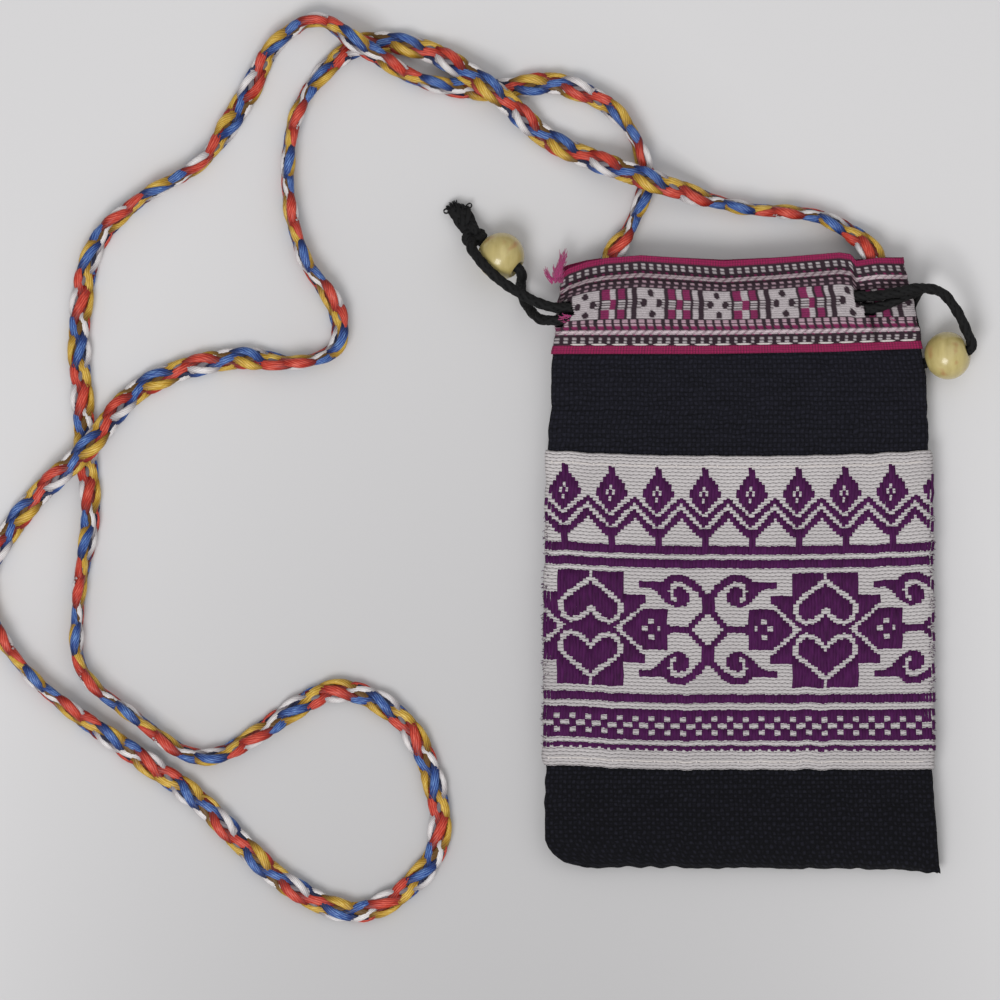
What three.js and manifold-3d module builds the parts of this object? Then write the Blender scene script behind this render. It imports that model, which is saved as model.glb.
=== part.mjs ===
// Small cloth pouch with a drawstring mouth and a neck cord, lying on its back.
// Millimetres: +X to the pouch's right, +Y towards its mouth, +Z up from the surface it lies on.
import * as THREE from "three";
import { mergeVertices } from "three/addons/utils/BufferGeometryUtils.js";
import Module from "manifold-3d";

const wasm = await Module();
wasm.setup();

// Cloth layers and the gap kept between pieces that lie on each other
const clothThickness = 0.7;
const panelThickness = 0.7;
const trimThickness = 0.6;
const layerGap = 0.3;

// Heights of the bands, from the foot of the pouch to its mouth
const lowerBandHeight = 25.0;
const panelHeight = 78.8;
const upperBandHeight = 25.8;
const trimHeight = 23.4;

// Plan of the cloth: its width at each height, and how far its middle lies to the right there
const mouthWidth = 84.6;
const mouthShift = -2.8;
const trimFootWidth = 90.6;
const trimFootShift = -1.3;
const panelHeadWidth = 94.9;
const panelHeadShift = -1.15;
const panelFootWidth = 96.3;
const panelFootShift = -1.15;
const baseWidth = 99.6;
const baseShift = -0.4;
const footCornerRadius = 6.5;

// Depth of the pouch
const mouthHollow = 4.6;
const footRound = 14;
const footEdgeHeight = 3.2;
const footEdgeThickness = 2.6;
const footWall = 1.2;
const foldHeightShare = 0.68;
const backFoldRadius = 8;
const frontFoldRadius = 7;

// Drawstrings: round where they are free, pressed flat under the pouch
const drawstringDiameter = 2.6;
const flatRunHeight = 1.6;
const flatRunWidth = 3.4;
const cordGap = 0.3;
const drawstringTravel = 25;
const legSpare = 5;

// Casing under the trim: flat hems, slopes and the slits that the drawstrings leave by
const hemHeight = 1.6;
const casingSlope = 1.8;
const casingHeadMargin = 4.2;
const slitX = 30;
const slitStep = 0.6;
const slitReach = 3;
const leftSlitDepth = 9;
const strandGap = 0.6;
const backStrandGap = 2.1;
const leftPairShift = -2.0;
const rightPairShift = 0.8;
const backPairShift = -0.2;
const backRunInset = 12;

// Beads, knots and frayed ends
const beadDiameter = 12;
const beadLength = 10.5;
const beadBore = 3.8;
const beadRim = 0.6;
const beadEntryReach = 1;
const rightBeadLift = 0.2;
const knotLength = 6.0;
const knotWidth = 5.4;
const knotHeight = 4.8;
const knotLift = 0.1;
const pressedKnotHeight = 2.8;
const knotGap = 0.7;
const tailDiameter = 2.4;

// Neck cord: a flat braid
const neckCordWidth = 5.6;
const neckCordThickness = 3.6;
const bindingLength = 3;
const restGap = 0.15;

// Sewing thread and the raw end of the trim
const threadDiameter = 0.5;
const threadInset = 12;
const frayThickness = 1.2;
const frayRoot = 8;
const frayReach = 2.2;

// Heights and levels that follow from the sizes above
const pouchLength = lowerBandHeight + panelHeight + upperBandHeight + trimHeight;
const footY = -pouchLength / 2;
const panelFootY = footY + lowerBandHeight;
const panelHeadY = panelFootY + panelHeight;
const trimFootY = panelHeadY + upperBandHeight;
const mouthY = trimFootY + trimHeight;
const backAtPanel = panelThickness + layerGap;
const backAtTrim = trimThickness + flatRunHeight + 2 * cordGap;
const clothFront = backAtTrim + mouthHollow + 2 * clothThickness;
const flatTrimTop = clothFront + layerGap + trimThickness;
const laneHeight = flatTrimTop + cordGap + drawstringDiameter / 2;
const casingCeiling = laneHeight + drawstringDiameter / 2 + cordGap;
const casingFootY = trimFootY + hemHeight;
const casingHeadY = mouthY - casingHeadMargin;
const casingMiddleY = (casingFootY + casingHeadY) / 2;

// Lanes of the strands in the casing, a pair at each place
const strandPitch = drawstringDiameter + strandGap;
const backPitch = flatRunWidth + backStrandGap;
const leftLowerLane = casingMiddleY + leftPairShift - strandPitch / 2;
const leftUpperLane = leftLowerLane + strandPitch;
const rightLowerLane = casingMiddleY + rightPairShift - strandPitch / 2;
const rightUpperLane = rightLowerLane + strandPitch;
const backLowerLane = casingMiddleY + backPairShift - backPitch / 2;
const backUpperLane = backLowerLane + backPitch;

// Colours of the cloth, threads and wood
function finish(color, roughness) {
  return new THREE.MeshStandardMaterial({ color, roughness, metalness: 0 });
}
const navyCloth = finish(0x1b1d2a, 0.9);
const wovenCotton = finish(0xa79cae, 0.85);
const trimWeave = finish(0x6d4a5c, 0.8);
const magentaYarn = finish(0xa02864, 0.8);
const blackCord = finish(0x191a1a, 0.85);
const braidYarn = finish(0xc25a3a, 0.6);
const paleThread = finish(0xd8d2cc, 0.8);
const paleWood = finish(0xcdb97d, 0.35);

const pouch = new THREE.Group();

function addPiece(name, geometry, material) {
  const mesh = new THREE.Mesh(geometry, material);
  mesh.name = name;
  pouch.add(mesh);
  return mesh;
}

// Value between the rows of a table of [y, value]
function between(rows, y) {
  const last = rows.length - 1;
  const next = rows.findIndex(([rowY]) => rowY >= y);
  if (next === 0) return rows[0][1];
  if (next < 0) return rows[last][1];
  const [y0, v0] = rows[next - 1];
  const [y1, v1] = rows[next];
  return v0 + ((v1 - v0) * (y - y0)) / (y1 - y0);
}

const widthRows = [
  [footY, baseWidth],
  [panelFootY, panelFootWidth],
  [panelHeadY, panelHeadWidth],
  [trimFootY, trimFootWidth],
  [mouthY, mouthWidth],
];
const shiftRows = [
  [footY, baseShift],
  [panelFootY, panelFootShift],
  [panelHeadY, panelHeadShift],
  [trimFootY, trimFootShift],
  [mouthY, mouthShift],
];
const backRows = [
  [panelHeadY, backAtPanel],
  [trimFootY, backAtTrim],
];

// Rise of a quarter circle: 0 at its start, 1 when it is full
function quarter(distance, radius) {
  const t = Math.min(distance / radius, 1);
  return Math.sqrt(Math.max(0, 1 - (1 - t) ** 2));
}

// Outer face of the cloth at a height: left and right edges, back and front levels
function clothAt(y) {
  const halfWidth = between(widthRows, y) / 2;
  const middle = between(shiftRows, y);
  const up = y - footY;
  const cornerCut = footCornerRadius * (1 - quarter(up, footCornerRadius));
  const fill = quarter(up, footRound);
  const edgeBack = footEdgeHeight - footEdgeThickness / 2;
  const edgeFront = footEdgeHeight + footEdgeThickness / 2;
  return {
    left: middle - halfWidth + cornerCut,
    right: middle + halfWidth,
    back: edgeBack + (between(backRows, y) - edgeBack) * fill,
    front: edgeFront + (clothFront - edgeFront) * fill,
  };
}

// Height of the side folds
function foldAt(y) {
  const cloth = clothAt(y);
  return cloth.back + (cloth.front - cloth.back) * foldHeightShare;
}

const foldSteps = 4;
const flatSteps = 4;

// Closed ring round the pouch at a height, set off from the cloth's outer face.
// frontSet may change along X, so that the casing can stand up from the cloth.
function ringAt(y, sideSet, backSet, frontSet, frontStops = []) {
  const cloth = clothAt(y);
  const left = cloth.left - sideSet;
  const right = cloth.right + sideSet;
  const back = cloth.back - backSet;
  const fold = foldAt(y);
  const backRadius = backFoldRadius + sideSet;
  const frontRadius = frontFoldRadius + sideSet;
  const points = [];
  const add = (x, z) => points.push(new THREE.Vector3(x, y, z));
  const top = (x) => cloth.front + (typeof frontSet === "function" ? frontSet(x) : frontSet);
  for (let i = 0; i <= flatSteps; i += 1) {
    add(THREE.MathUtils.lerp(left + backRadius, right - backRadius, i / flatSteps), back);
  }
  for (let i = 1; i <= foldSteps; i += 1) {
    const turn = ((i / foldSteps) * Math.PI) / 2;
    add(right - backRadius + backRadius * Math.sin(turn), fold - (fold - back) * Math.cos(turn));
  }
  for (let i = 1; i < foldSteps; i += 1) {
    const turn = ((i / foldSteps) * Math.PI) / 2;
    const x = right - frontRadius + frontRadius * Math.cos(turn);
    add(x, fold + (top(right - frontRadius) - fold) * Math.sin(turn));
  }
  const stops = [right - frontRadius, ...frontStops, left + frontRadius];
  if (!frontStops.length) {
    for (let i = 1; i < flatSteps; i += 1) {
      stops.splice(i, 0, THREE.MathUtils.lerp(right - frontRadius, left + frontRadius, i / flatSteps));
    }
  }
  for (const x of stops) {
    add(x, top(x));
  }
  for (let i = 1; i <= foldSteps; i += 1) {
    const turn = ((i / foldSteps) * Math.PI) / 2;
    const x = left + frontRadius - frontRadius * Math.sin(turn);
    add(x, fold + (top(left + frontRadius) - fold) * Math.cos(turn));
  }
  for (let i = 1; i < foldSteps; i += 1) {
    const turn = ((i / foldSteps) * Math.PI) / 2;
    add(left + backRadius - backRadius * Math.cos(turn), fold - (fold - back) * Math.sin(turn));
  }
  return points;
}

// Signed volume of an indexed mesh, negative when its faces point inwards
function signedVolume(positions, indices) {
  const corner = (i) => new THREE.Vector3().fromArray(positions, 3 * i);
  let volume = 0;
  for (let i = 0; i < indices.length; i += 3) {
    const cross = corner(indices[i + 1]).cross(corner(indices[i + 2]));
    volume += corner(indices[i]).dot(cross) / 6;
  }
  return volume;
}

// Skin over a row of rings: a sleeve whose last ring meets its first, or a body with capped ends
function skin(rings, sleeve) {
  const count = rings[0].length;
  const positions = rings.flat().flatMap((p) => [p.x, p.y, p.z]);
  const indices = [];
  const rows = sleeve ? rings.length : rings.length - 1;
  for (let r = 0; r < rows; r += 1) {
    const a = r * count;
    const b = ((r + 1) % rings.length) * count;
    for (let i = 0; i < count; i += 1) {
      const j = (i + 1) % count;
      indices.push(a + i, a + j, b + j, a + i, b + j, b + i);
    }
  }
  if (!sleeve) {
    const cap = (ring, start, reverse) => {
      const middle = ring.reduce((sum, p) => sum.add(p), new THREE.Vector3()).divideScalar(count);
      const centre = positions.length / 3;
      positions.push(middle.x, middle.y, middle.z);
      for (let i = 0; i < count; i += 1) {
        const j = (i + 1) % count;
        const pair = reverse ? [start + j, start + i] : [start + i, start + j];
        indices.push(centre, ...pair);
      }
    };
    cap(rings[0], 0, true);
    cap(rings.at(-1), (rings.length - 1) * count, false);
  }
  if (signedVolume(positions, indices) < 0) indices.reverse();
  const geometry = new THREE.BufferGeometry();
  geometry.setAttribute("position", new THREE.Float32BufferAttribute(positions, 3));
  geometry.setIndex(indices);
  return geometry;
}

// Joins and cuts of closed meshes
function toSolid(geometry) {
  const bare = new THREE.BufferGeometry();
  bare.setAttribute("position", geometry.getAttribute("position").clone());
  bare.setIndex(geometry.getIndex());
  const merged = mergeVertices(bare);
  return new wasm.Manifold(
    new wasm.Mesh({
      numProp: 3,
      vertProperties: new Float32Array(merged.getAttribute("position").array),
      triVerts: new Uint32Array(merged.getIndex().array),
    }),
  );
}

function fromSolid(solid) {
  const mesh = solid.getMesh();
  const geometry = new THREE.BufferGeometry();
  geometry.setAttribute("position", new THREE.BufferAttribute(new Float32Array(mesh.vertProperties), 3));
  geometry.setIndex(Array.from(mesh.triVerts));
  return geometry;
}

function block(low, high) {
  const size = new THREE.Vector3().subVectors(high, low);
  const middle = new THREE.Vector3().addVectors(low, high).multiplyScalar(0.5);
  return new THREE.BoxGeometry(size.x, size.y, size.z).translate(middle.x, middle.y, middle.z);
}

// Oval section with flat sides, and a cord of that section along a route
function ovalSection(thickness, width, sides) {
  const points = [];
  for (let i = 0; i < sides; i += 1) {
    const turn = ((i + 0.5) / sides) * 2 * Math.PI;
    points.push(new THREE.Vector2((thickness / 2) * Math.cos(turn), (width / 2) * Math.sin(turn)));
  }
  return new THREE.Shape(points);
}

// Smooth route of a cord, which never dips below the surface it lies on
class LyingRoute extends THREE.CatmullRomCurve3 {
  constructor(points, lowest) {
    super(points);
    this.lowest = lowest;
  }

  getPoint(t, target) {
    const point = super.getPoint(t, target);
    point.z = Math.max(point.z, this.lowest);
    return point;
  }
}

function cordAlong(points, thickness, width, sides, steps) {
  const extrudePath = new LyingRoute(points, thickness / 2 + restGap);
  const section = ovalSection(thickness, width, sides);
  return new THREE.ExtrudeGeometry(section, { steps, bevelEnabled: false, extrudePath });
}

function route(rows) {
  return rows.map(([x, y, z]) => new THREE.Vector3(x, y, z));
}

// Pouch cloth: one bag of navy cloth, closed at the foot and open at the mouth
const footRowShares = [0, 0.03, 0.1, 0.22, 0.45, 0.7, 1];
const outerHeights = footRowShares.map((share) => footY + share * footRound);
const bandHeights = [panelFootY, panelHeadY, trimFootY, mouthY];
const clothOuter = [...outerHeights, ...bandHeights].map((y) => ringAt(y, 0, 0, 0));
const innerHeights = [footY + footWall, ...outerHeights.filter((y) => y > footY + footWall), ...bandHeights];
const clothInner = innerHeights
  .map((y) => ringAt(y, -clothThickness, -clothThickness, -clothThickness))
  .reverse();
addPiece("pouch_cloth", skin([...clothOuter, ...clothInner], false), navyCloth);

// Woven panel: a band of patterned cloth sewn round the pouch
const panelHeights = [panelFootY, panelHeadY];
const panelInner = panelHeights.map((y) => ringAt(y, layerGap, layerGap, layerGap));
const panelSet = layerGap + panelThickness;
const panelOuter = panelHeights.map((y) => ringAt(y, panelSet, panelSet, panelSet)).reverse();
addPiece("woven_panel", skin([...panelInner, ...panelOuter], true), wovenCotton);

// Trim ribbon: sewn round the mouth by flat hems, standing up between them as the casing
const hemSet = layerGap + trimThickness;
const backCasingSet = flatRunHeight + 2 * cordGap;
const frontCasingSet = casingCeiling - clothFront;
const slitStops = [slitX + slitStep, slitX - slitStep];

function trimRing(y, open, skinSet) {
  const frontSet = (x) => skinSet + (open && x < slitX ? frontCasingSet : layerGap);
  const backSet = skinSet + (open ? backCasingSet : layerGap);
  return ringAt(y, layerGap + skinSet, backSet, frontSet, slitStops);
}

const trimRows = [
  [trimFootY, false],
  [casingFootY, false],
  [casingFootY + casingSlope, true],
  [casingHeadY - casingSlope, true],
  [casingHeadY, false],
  [mouthY, false],
];
const trimInner = trimRows.map(([y, open]) => trimRing(y, open, 0));
const trimOuter = trimRows.map(([y, open]) => trimRing(y, open, trimThickness)).reverse();
const trimSleeve = toSolid(skin([...trimInner, ...trimOuter], true));
const laneReach = drawstringDiameter / 2 + cordGap;
const slitFloor = laneHeight - laneReach;
const slitCeiling = laneHeight + laneReach;
const trimLeft = clothAt(leftLowerLane).left - hemSet;
const leftSlitHead = slitCeiling + trimThickness + cordGap;
const leftSlit = block(
  new THREE.Vector3(trimLeft - slitReach, leftLowerLane - laneReach, foldAt(leftLowerLane)),
  new THREE.Vector3(trimLeft + leftSlitDepth, leftUpperLane + laneReach, leftSlitHead),
);
const rightSlit = block(
  new THREE.Vector3(slitX - slitReach, rightLowerLane - laneReach, slitFloor),
  new THREE.Vector3(slitX + slitReach, rightUpperLane + laneReach, slitCeiling),
);
const trimSolid = trimSleeve.subtract(toSolid(leftSlit)).subtract(toSolid(rightSlit));
addPiece("trim_ribbon", fromSolid(trimSolid), trimWeave);

// Frayed raw end of the trim, beside the head of its left edge
const frayHigh = foldAt(casingHeadY);
const frayBase = clothAt(casingHeadY).left - hemSet - layerGap;
const frayShape = new THREE.Shape([
  new THREE.Vector2(frayBase, casingHeadY - frayRoot / 2),
  new THREE.Vector2(frayBase, casingHeadY + frayRoot / 2),
  new THREE.Vector2(frayBase - frayReach, casingHeadY + frayRoot / 2),
  new THREE.Vector2(frayBase - frayReach, casingHeadY),
]);
const fray = new THREE.ExtrudeGeometry(frayShape, { depth: frayThickness, bevelEnabled: false });
fray.translate(0, 0, frayHigh - frayThickness / 2);
addPiece("trim_fray", fray, magentaYarn);

// Neck cord: both ends are sewn inside the mouth, and the rest lies in loops beside the pouch
const onFloor = neckCordThickness / 2 + restGap;
const overCord = onFloor + neckCordThickness + cordGap;
const inMouth = backAtTrim + clothThickness + mouthHollow / 2;
function fromMouth(rows) {
  return rows.map(([x, rise, z]) => new THREE.Vector3(x, mouthY + rise, z));
}

const neckCordRoute = fromMouth([
  [-34.6, -10.0, inMouth],
  [-32.8, -1.0, inMouth],
  [-27.4, 8.3, 3.2],
  [-24.1, 18.8, onFloor],
  [-27.4, 30.0, onFloor],
  [-34.6, 37.8, onFloor],
  [-46.6, 42.7, onFloor],
  [-61.4, 41.3, onFloor],
  [-79.6, 43.3, onFloor],
  [-95.6, 52.3, overCord],
  [-106.4, 58.7, onFloor],
  [-116.6, 52.5, onFloor],
  [-124.6, 38.5, onFloor],
  [-135.0, 23.3, onFloor],
  [-150.4, 13.7, onFloor],
  [-161.2, 2.9, onFloor],
  [-165.4, -14.5, onFloor],
  [-164.0, -48.9, onFloor],
  [-162.8, -64.5, onFloor],
  [-165.8, -86.5, onFloor],
  [-165.0, -103.5, onFloor],
  [-152.0, -115.3, onFloor],
  [-134.4, -125.5, onFloor],
  [-101.6, -108.9, onFloor],
  [-86.4, -114.9, onFloor],
  [-76.6, -133.5, onFloor],
  [-77.6, -151.1, onFloor],
  [-95.4, -164.1, onFloor],
  [-114.0, -156.9, onFloor],
  [-136.2, -136.1, onFloor],
  [-179.6, -103.1, onFloor],
  [-189.2, -83.7, onFloor],
  [-180.6, -65.5, onFloor],
  [-164.0, -48.9, overCord],
  [-149.8, -33.1, onFloor],
  [-126.8, -25.9, onFloor],
  [-111.0, -26.9, onFloor],
  [-101.6, -23.3, onFloor],
  [-101.2, -14.1, onFloor],
  [-109.6, -0.5, onFloor],
  [-113.6, 18.7, onFloor],
  [-110.0, 38.1, onFloor],
  [-95.6, 52.3, onFloor],
  [-80.6, 51.5, onFloor],
  [-62.4, 40.9, overCord],
  [-48.4, 28.9, onFloor],
  [-24.1, 18.8, overCord],
  [-1.2, 11.9, onFloor],
  [20.6, 8.9, onFloor],
  [32.4, 0.0, inMouth],
  [34.4, -10.0, inMouth],
]);
const neckCordSides = 10;
const neckCordSteps = 80;
const neckCord = cordAlong(neckCordRoute, neckCordThickness, neckCordWidth, neckCordSides, neckCordSteps);
addPiece("neck_cord", neckCord, braidYarn);

// Thread bindings that close the neck cord's sewn ends
function binding(name, end, next) {
  const out = new THREE.Vector3().subVectors(end, next).normalize();
  const near = end.clone().addScaledVector(out, cordGap);
  const far = near.clone().addScaledVector(out, bindingLength);
  addPiece(name, cordAlong([near, far], neckCordThickness, neckCordWidth, neckCordSides, 1), paleThread);
}
binding("neck_cord_binding_left", neckCordRoute[0], neckCordRoute[1]);
binding("neck_cord_binding_right", neckCordRoute.at(-1), neckCordRoute.at(-2));

const strandSides = 8;
const tailSteps = 3;

// Drawstring stretches that stay in the back casing, pressed flat
function backRun(name, laneY) {
  const cloth = clothAt(laneY);
  const height = trimThickness + cordGap + flatRunHeight / 2;
  const ends = route([
    [cloth.left + backRunInset, laneY, height],
    [cloth.right - backRunInset, laneY, height],
  ]);
  addPiece(name, cordAlong(ends, flatRunHeight, flatRunWidth, strandSides, 1), blackCord);
}
backRun("left_drawstring_back_run", backUpperLane);
backRun("right_drawstring_back_run", backLowerLane);

const arcSteps = 9;
const beadSides = 20;

// A bead turned about its bore, which points along the given direction
function addBead(name, centre, direction) {
  const radius = beadDiameter / 2;
  const bore = beadBore / 2;
  const half = beadLength / 2;
  const profile = [new THREE.Vector2(bore, half - beadRim), new THREE.Vector2(bore, beadRim - half)];
  const rimRadius = bore + beadRim;
  const rimTurn = Math.acos(rimRadius / radius);
  for (let i = 0; i <= arcSteps; i += 1) {
    const turn = THREE.MathUtils.lerp(-rimTurn, rimTurn, i / arcSteps);
    const lift = (Math.sin(turn) / Math.sin(rimTurn)) * half;
    profile.push(new THREE.Vector2(radius * Math.cos(turn), lift));
  }
  profile.push(profile[0].clone());
  const mesh = addPiece(name, new THREE.LatheGeometry(profile, beadSides), paleWood);
  mesh.position.copy(centre);
  mesh.quaternion.setFromUnitVectors(new THREE.Vector3(0, 1, 0), direction);
}

const knotSides = 14;
const knotRings = 10;

// A knot with the frayed ends that stand out of it, placed from its centre
function addKnot(name, centre, direction, height, tails) {
  const ball = new THREE.SphereGeometry(0.5, knotSides, knotRings);
  ball.rotateX(Math.PI / 2);
  ball.scale(knotLength, knotWidth, height);
  ball.rotateZ(Math.atan2(direction.y, direction.x));
  ball.translate(centre.x, centre.y, centre.z);
  let solid = toSolid(ball);
  for (const tail of tails) {
    const points = [centre.clone(), ...route(tail).map((point) => point.add(centre))];
    const tube = cordAlong(points, tailDiameter, tailDiameter, strandSides, tailSteps);
    solid = solid.add(toSolid(tube));
  }
  addPiece(name, fromSolid(solid), blackCord);
}

// Point where a cord that comes from a place stops short of a knot of the given height
function meetKnot(centre, from, height) {
  const way = new THREE.Vector3().subVectors(from, centre).normalize();
  const flat = Math.hypot(way.x, way.y) / (knotLength / 2);
  const reach = 1 / Math.hypot(flat, way.z / (height / 2));
  return centre.clone().addScaledVector(way, reach + knotGap);
}

// Way of a strand through a bead's bore and on to its knot, straight as far as it goes onward from the bead
function throughBead(bead, way, onward, knot, height) {
  const places = [bead.clone().addScaledVector(way, -beadLength / 2 - beadEntryReach), bead];
  if (onward > 0) places.push(bead.clone().addScaledVector(way, beadLength / 2 + onward));
  places.push(meetKnot(knot, places.at(-1), height));
  return places;
}

const legLength = drawstringTravel + legSpare;
const strandFloor = drawstringDiameter / 2 + restGap;
const strandStep = 2.8;

// Straight stretch of a strand inside the casing, from its inner end to the slit
function leg(innerX, laneY, slit) {
  const nearSlit = slit + Math.sign(innerX - slit) * slitReach;
  return route([
    [innerX, laneY, laneHeight],
    [nearSlit, laneY, laneHeight],
    [slit, laneY, laneHeight],
  ]);
}

// Free stretch of a strand, from the place where it leaves the trim.
// The third value is 1 at the height of its lane and 0 on the surface.
function falling(exit, rows) {
  return rows.map(([x, y, share]) => {
    const height = THREE.MathUtils.lerp(strandFloor, laneHeight, share);
    return new THREE.Vector3(exit.x + x, exit.y + y, height);
  });
}

function addStrand(name, points) {
  const steps = Math.ceil(new THREE.CatmullRomCurve3(points).getLength() / strandStep);
  addPiece(name, cordAlong(points, drawstringDiameter, drawstringDiameter, strandSides, steps), blackCord);
}

// Left drawstring: both strands leave the casing's left end and cross. The lower one runs through its bead,
// the upper one lies over the bead, and they meet in a knot
const leftExit = new THREE.Vector2(trimLeft, leftLowerLane);
const leftBeadCentre = new THREE.Vector3(leftExit.x - 13.3, leftExit.y + 16.1, beadDiameter / 2);
const leftBeadWay = new THREE.Vector3(-0.77, 0.59, -0.24).normalize();
const leftKnotReach = beadLength / 2 + 2 * cordGap + knotLength / 2;
const leftKnotCentre = leftBeadCentre.clone().addScaledVector(leftBeadWay, leftKnotReach);
const leftLegEnd = trimLeft + legLength;
const leftUpperRoute = [
  ...leg(leftLegEnd, leftUpperLane, trimLeft),
  ...falling(leftExit, [
    [-4.3, 4.5, 0.97],
    [-8.5, 6.7, 0.95],
    [-12.6, 9.3, 1],
    [-16.05, 12.2, 1.06],
    [-18.85, 15.4, 0.96],
    [-20.7, 18.3, 0.68],
  ]),
];
leftUpperRoute.push(meetKnot(leftKnotCentre, leftUpperRoute.at(-1), knotHeight));
const leftLowerRoute = [
  ...leg(leftLegEnd, leftLowerLane, trimLeft),
  ...falling(leftExit, [
    [-3.3, 0.3, 0.79],
    [-5.8, 2.5, 0.36],
    [-7.5, 5.3, 0.08],
    [-8.3, 8.3, 0.08],
  ]),
  ...throughBead(leftBeadCentre, leftBeadWay, 0, leftKnotCentre, knotHeight),
];
addStrand("left_drawstring_upper", leftUpperRoute);
addStrand("left_drawstring_lower", leftLowerRoute);
addKnot("left_knot", leftKnotCentre, leftBeadWay, knotHeight, [
  [[-3.0, 3.4, -1.2], [-5.6, 7.2, -2.0]],
  [[-0.9, 3.0, -1.0], [-1.2, 5.4, -1.6]],
]);
addBead("left_bead", leftBeadCentre, leftBeadWay);

// Right drawstring: both strands leave a slit in the trim's face. The upper one arches over to its bead,
// the lower one turns round the pouch's edge below it, and they meet in a knot pressed under the pouch
const trimRight = clothAt(rightUpperLane).right + hemSet;
const rightExit = new THREE.Vector2(trimRight, rightUpperLane);
const rightBeadHeight = beadDiameter / 2 + rightBeadLift;
const rightKnotHeight = pressedKnotHeight / 2 + knotLift;
const rightBeadCentre = new THREE.Vector3(rightExit.x + 8.5, rightExit.y - 14.65, rightBeadHeight);
const rightKnotCentre = new THREE.Vector3(rightExit.x - 0.4, rightExit.y - 18.3, rightKnotHeight);
const rightBeadWay = new THREE.Vector3(-0.93, -0.3, -0.21).normalize();
const rightLegEnd = slitX - legLength;
const rightUpperRoute = [
  ...leg(rightLegEnd, rightUpperLane, slitX),
  ...falling(rightExit, [
    [-9.4, 0.1, 1.02],
    [-6.4, 0.6, 1.15],
    [-3.5, 1.1, 1.24],
    [-0.4, 1.8, 1.24],
    [3.0, 1.9, 1.15],
    [6.9, 0.8, 1.01],
    [10.7, -3.8, 0.89],
    [12.8, -7.9, 0.74],
  ]),
  ...throughBead(rightBeadCentre, rightBeadWay, beadEntryReach / 2, rightKnotCentre, pressedKnotHeight),
];
const rightLowerRoute = [
  ...leg(rightLegEnd, rightLowerLane, slitX),
  ...falling(rightExit, [
    [-8.2, -2.5, 1],
    [-4.0, -0.7, 1],
    [-1.2, 0.5, 0.98],
    [0.9, 1.2, 0.85],
    [1.5, 1.7, 0.58],
    [1.4, 1.4, 0.32],
    [0.6, 0, 0.12],
    [-0.4, -2.9, 0],
    [0.5, -7.3, 0],
    [0.9, -10.4, 0],
    [0.4, -12.9, 0],
  ]),
];
rightLowerRoute.push(meetKnot(rightKnotCentre, rightLowerRoute.at(-1), pressedKnotHeight));
addStrand("right_drawstring_upper", rightUpperRoute);
addStrand("right_drawstring_lower", rightLowerRoute);
addKnot("right_knot", rightKnotCentre, rightBeadWay, pressedKnotHeight, [
  [[-0.6, -3.4, -0.1], [0.2, -6.2, -0.2]],
]);
addBead("right_bead", rightBeadCentre, rightBeadWay);

const threadSides = 6;
const seamSteps = 12;

// Stitching: rows of thread on the hems, and the seams inside the pouch
function frontRow(name, y, faceSet) {
  const cloth = clothAt(y);
  const height = cloth.front + faceSet + cordGap + threadDiameter / 2;
  const ends = route([
    [cloth.left + threadInset, y, height],
    [cloth.right - threadInset, y, height],
  ]);
  addPiece(name, cordAlong(ends, threadDiameter, threadDiameter, threadSides, 1), paleThread);
}
frontRow("trim_stitching", trimFootY + hemHeight / 2, hemSet);
frontRow("panel_head_stitching", panelHeadY - hemHeight, panelSet);
frontRow("panel_foot_stitching", panelFootY + hemHeight, panelSet);

const seamSet = clothThickness + cordGap + threadDiameter / 2;
const sideSeamHeights = [footY + footRound, panelFootY, panelHeadY, trimFootY, mouthY - threadInset];
const sideSeam = sideSeamHeights.map((y) => new THREE.Vector3(clothAt(y).left + seamSet, y, foldAt(y)));
const sideThread = cordAlong(sideSeam, threadDiameter, threadDiameter, threadSides, seamSteps);
addPiece("side_seam", sideThread, paleThread);
const footSeamY = footY + footWall + cordGap + threadDiameter / 2;
const footSeamEnds = route([
  [clothAt(footSeamY).left + threadInset, footSeamY, footEdgeHeight],
  [clothAt(footSeamY).right - threadInset, footSeamY, footEdgeHeight],
]);
addPiece("foot_seam", cordAlong(footSeamEnds, threadDiameter, threadDiameter, threadSides, 1), paleThread);

export default pouch;
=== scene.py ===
# Cloth pouch with a woven panel, a trimmed drawstring mouth and a braided neck cord, lying on its back.
# Sizes in the settings are millimetres unless a note says otherwise.
import random
from math import acos, ceil, cos, floor, hypot, pi, radians, sin, sqrt
import bpy
import bmesh
import numpy as np
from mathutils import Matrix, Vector, noise


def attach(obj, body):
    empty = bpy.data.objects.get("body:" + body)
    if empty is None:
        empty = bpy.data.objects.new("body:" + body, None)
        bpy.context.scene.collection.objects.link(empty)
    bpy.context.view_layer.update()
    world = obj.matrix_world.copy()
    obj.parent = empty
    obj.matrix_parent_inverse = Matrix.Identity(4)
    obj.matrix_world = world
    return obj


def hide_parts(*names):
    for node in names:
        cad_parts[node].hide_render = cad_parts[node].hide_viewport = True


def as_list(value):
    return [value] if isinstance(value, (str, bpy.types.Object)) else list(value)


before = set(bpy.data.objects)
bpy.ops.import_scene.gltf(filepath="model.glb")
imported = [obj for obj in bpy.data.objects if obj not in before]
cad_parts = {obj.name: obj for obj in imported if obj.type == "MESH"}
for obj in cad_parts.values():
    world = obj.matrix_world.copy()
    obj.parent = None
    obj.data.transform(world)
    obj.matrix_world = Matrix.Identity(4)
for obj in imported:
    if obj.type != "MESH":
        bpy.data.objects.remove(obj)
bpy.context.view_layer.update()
mm = 0.001
up = Vector((0, 0, 1))


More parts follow.
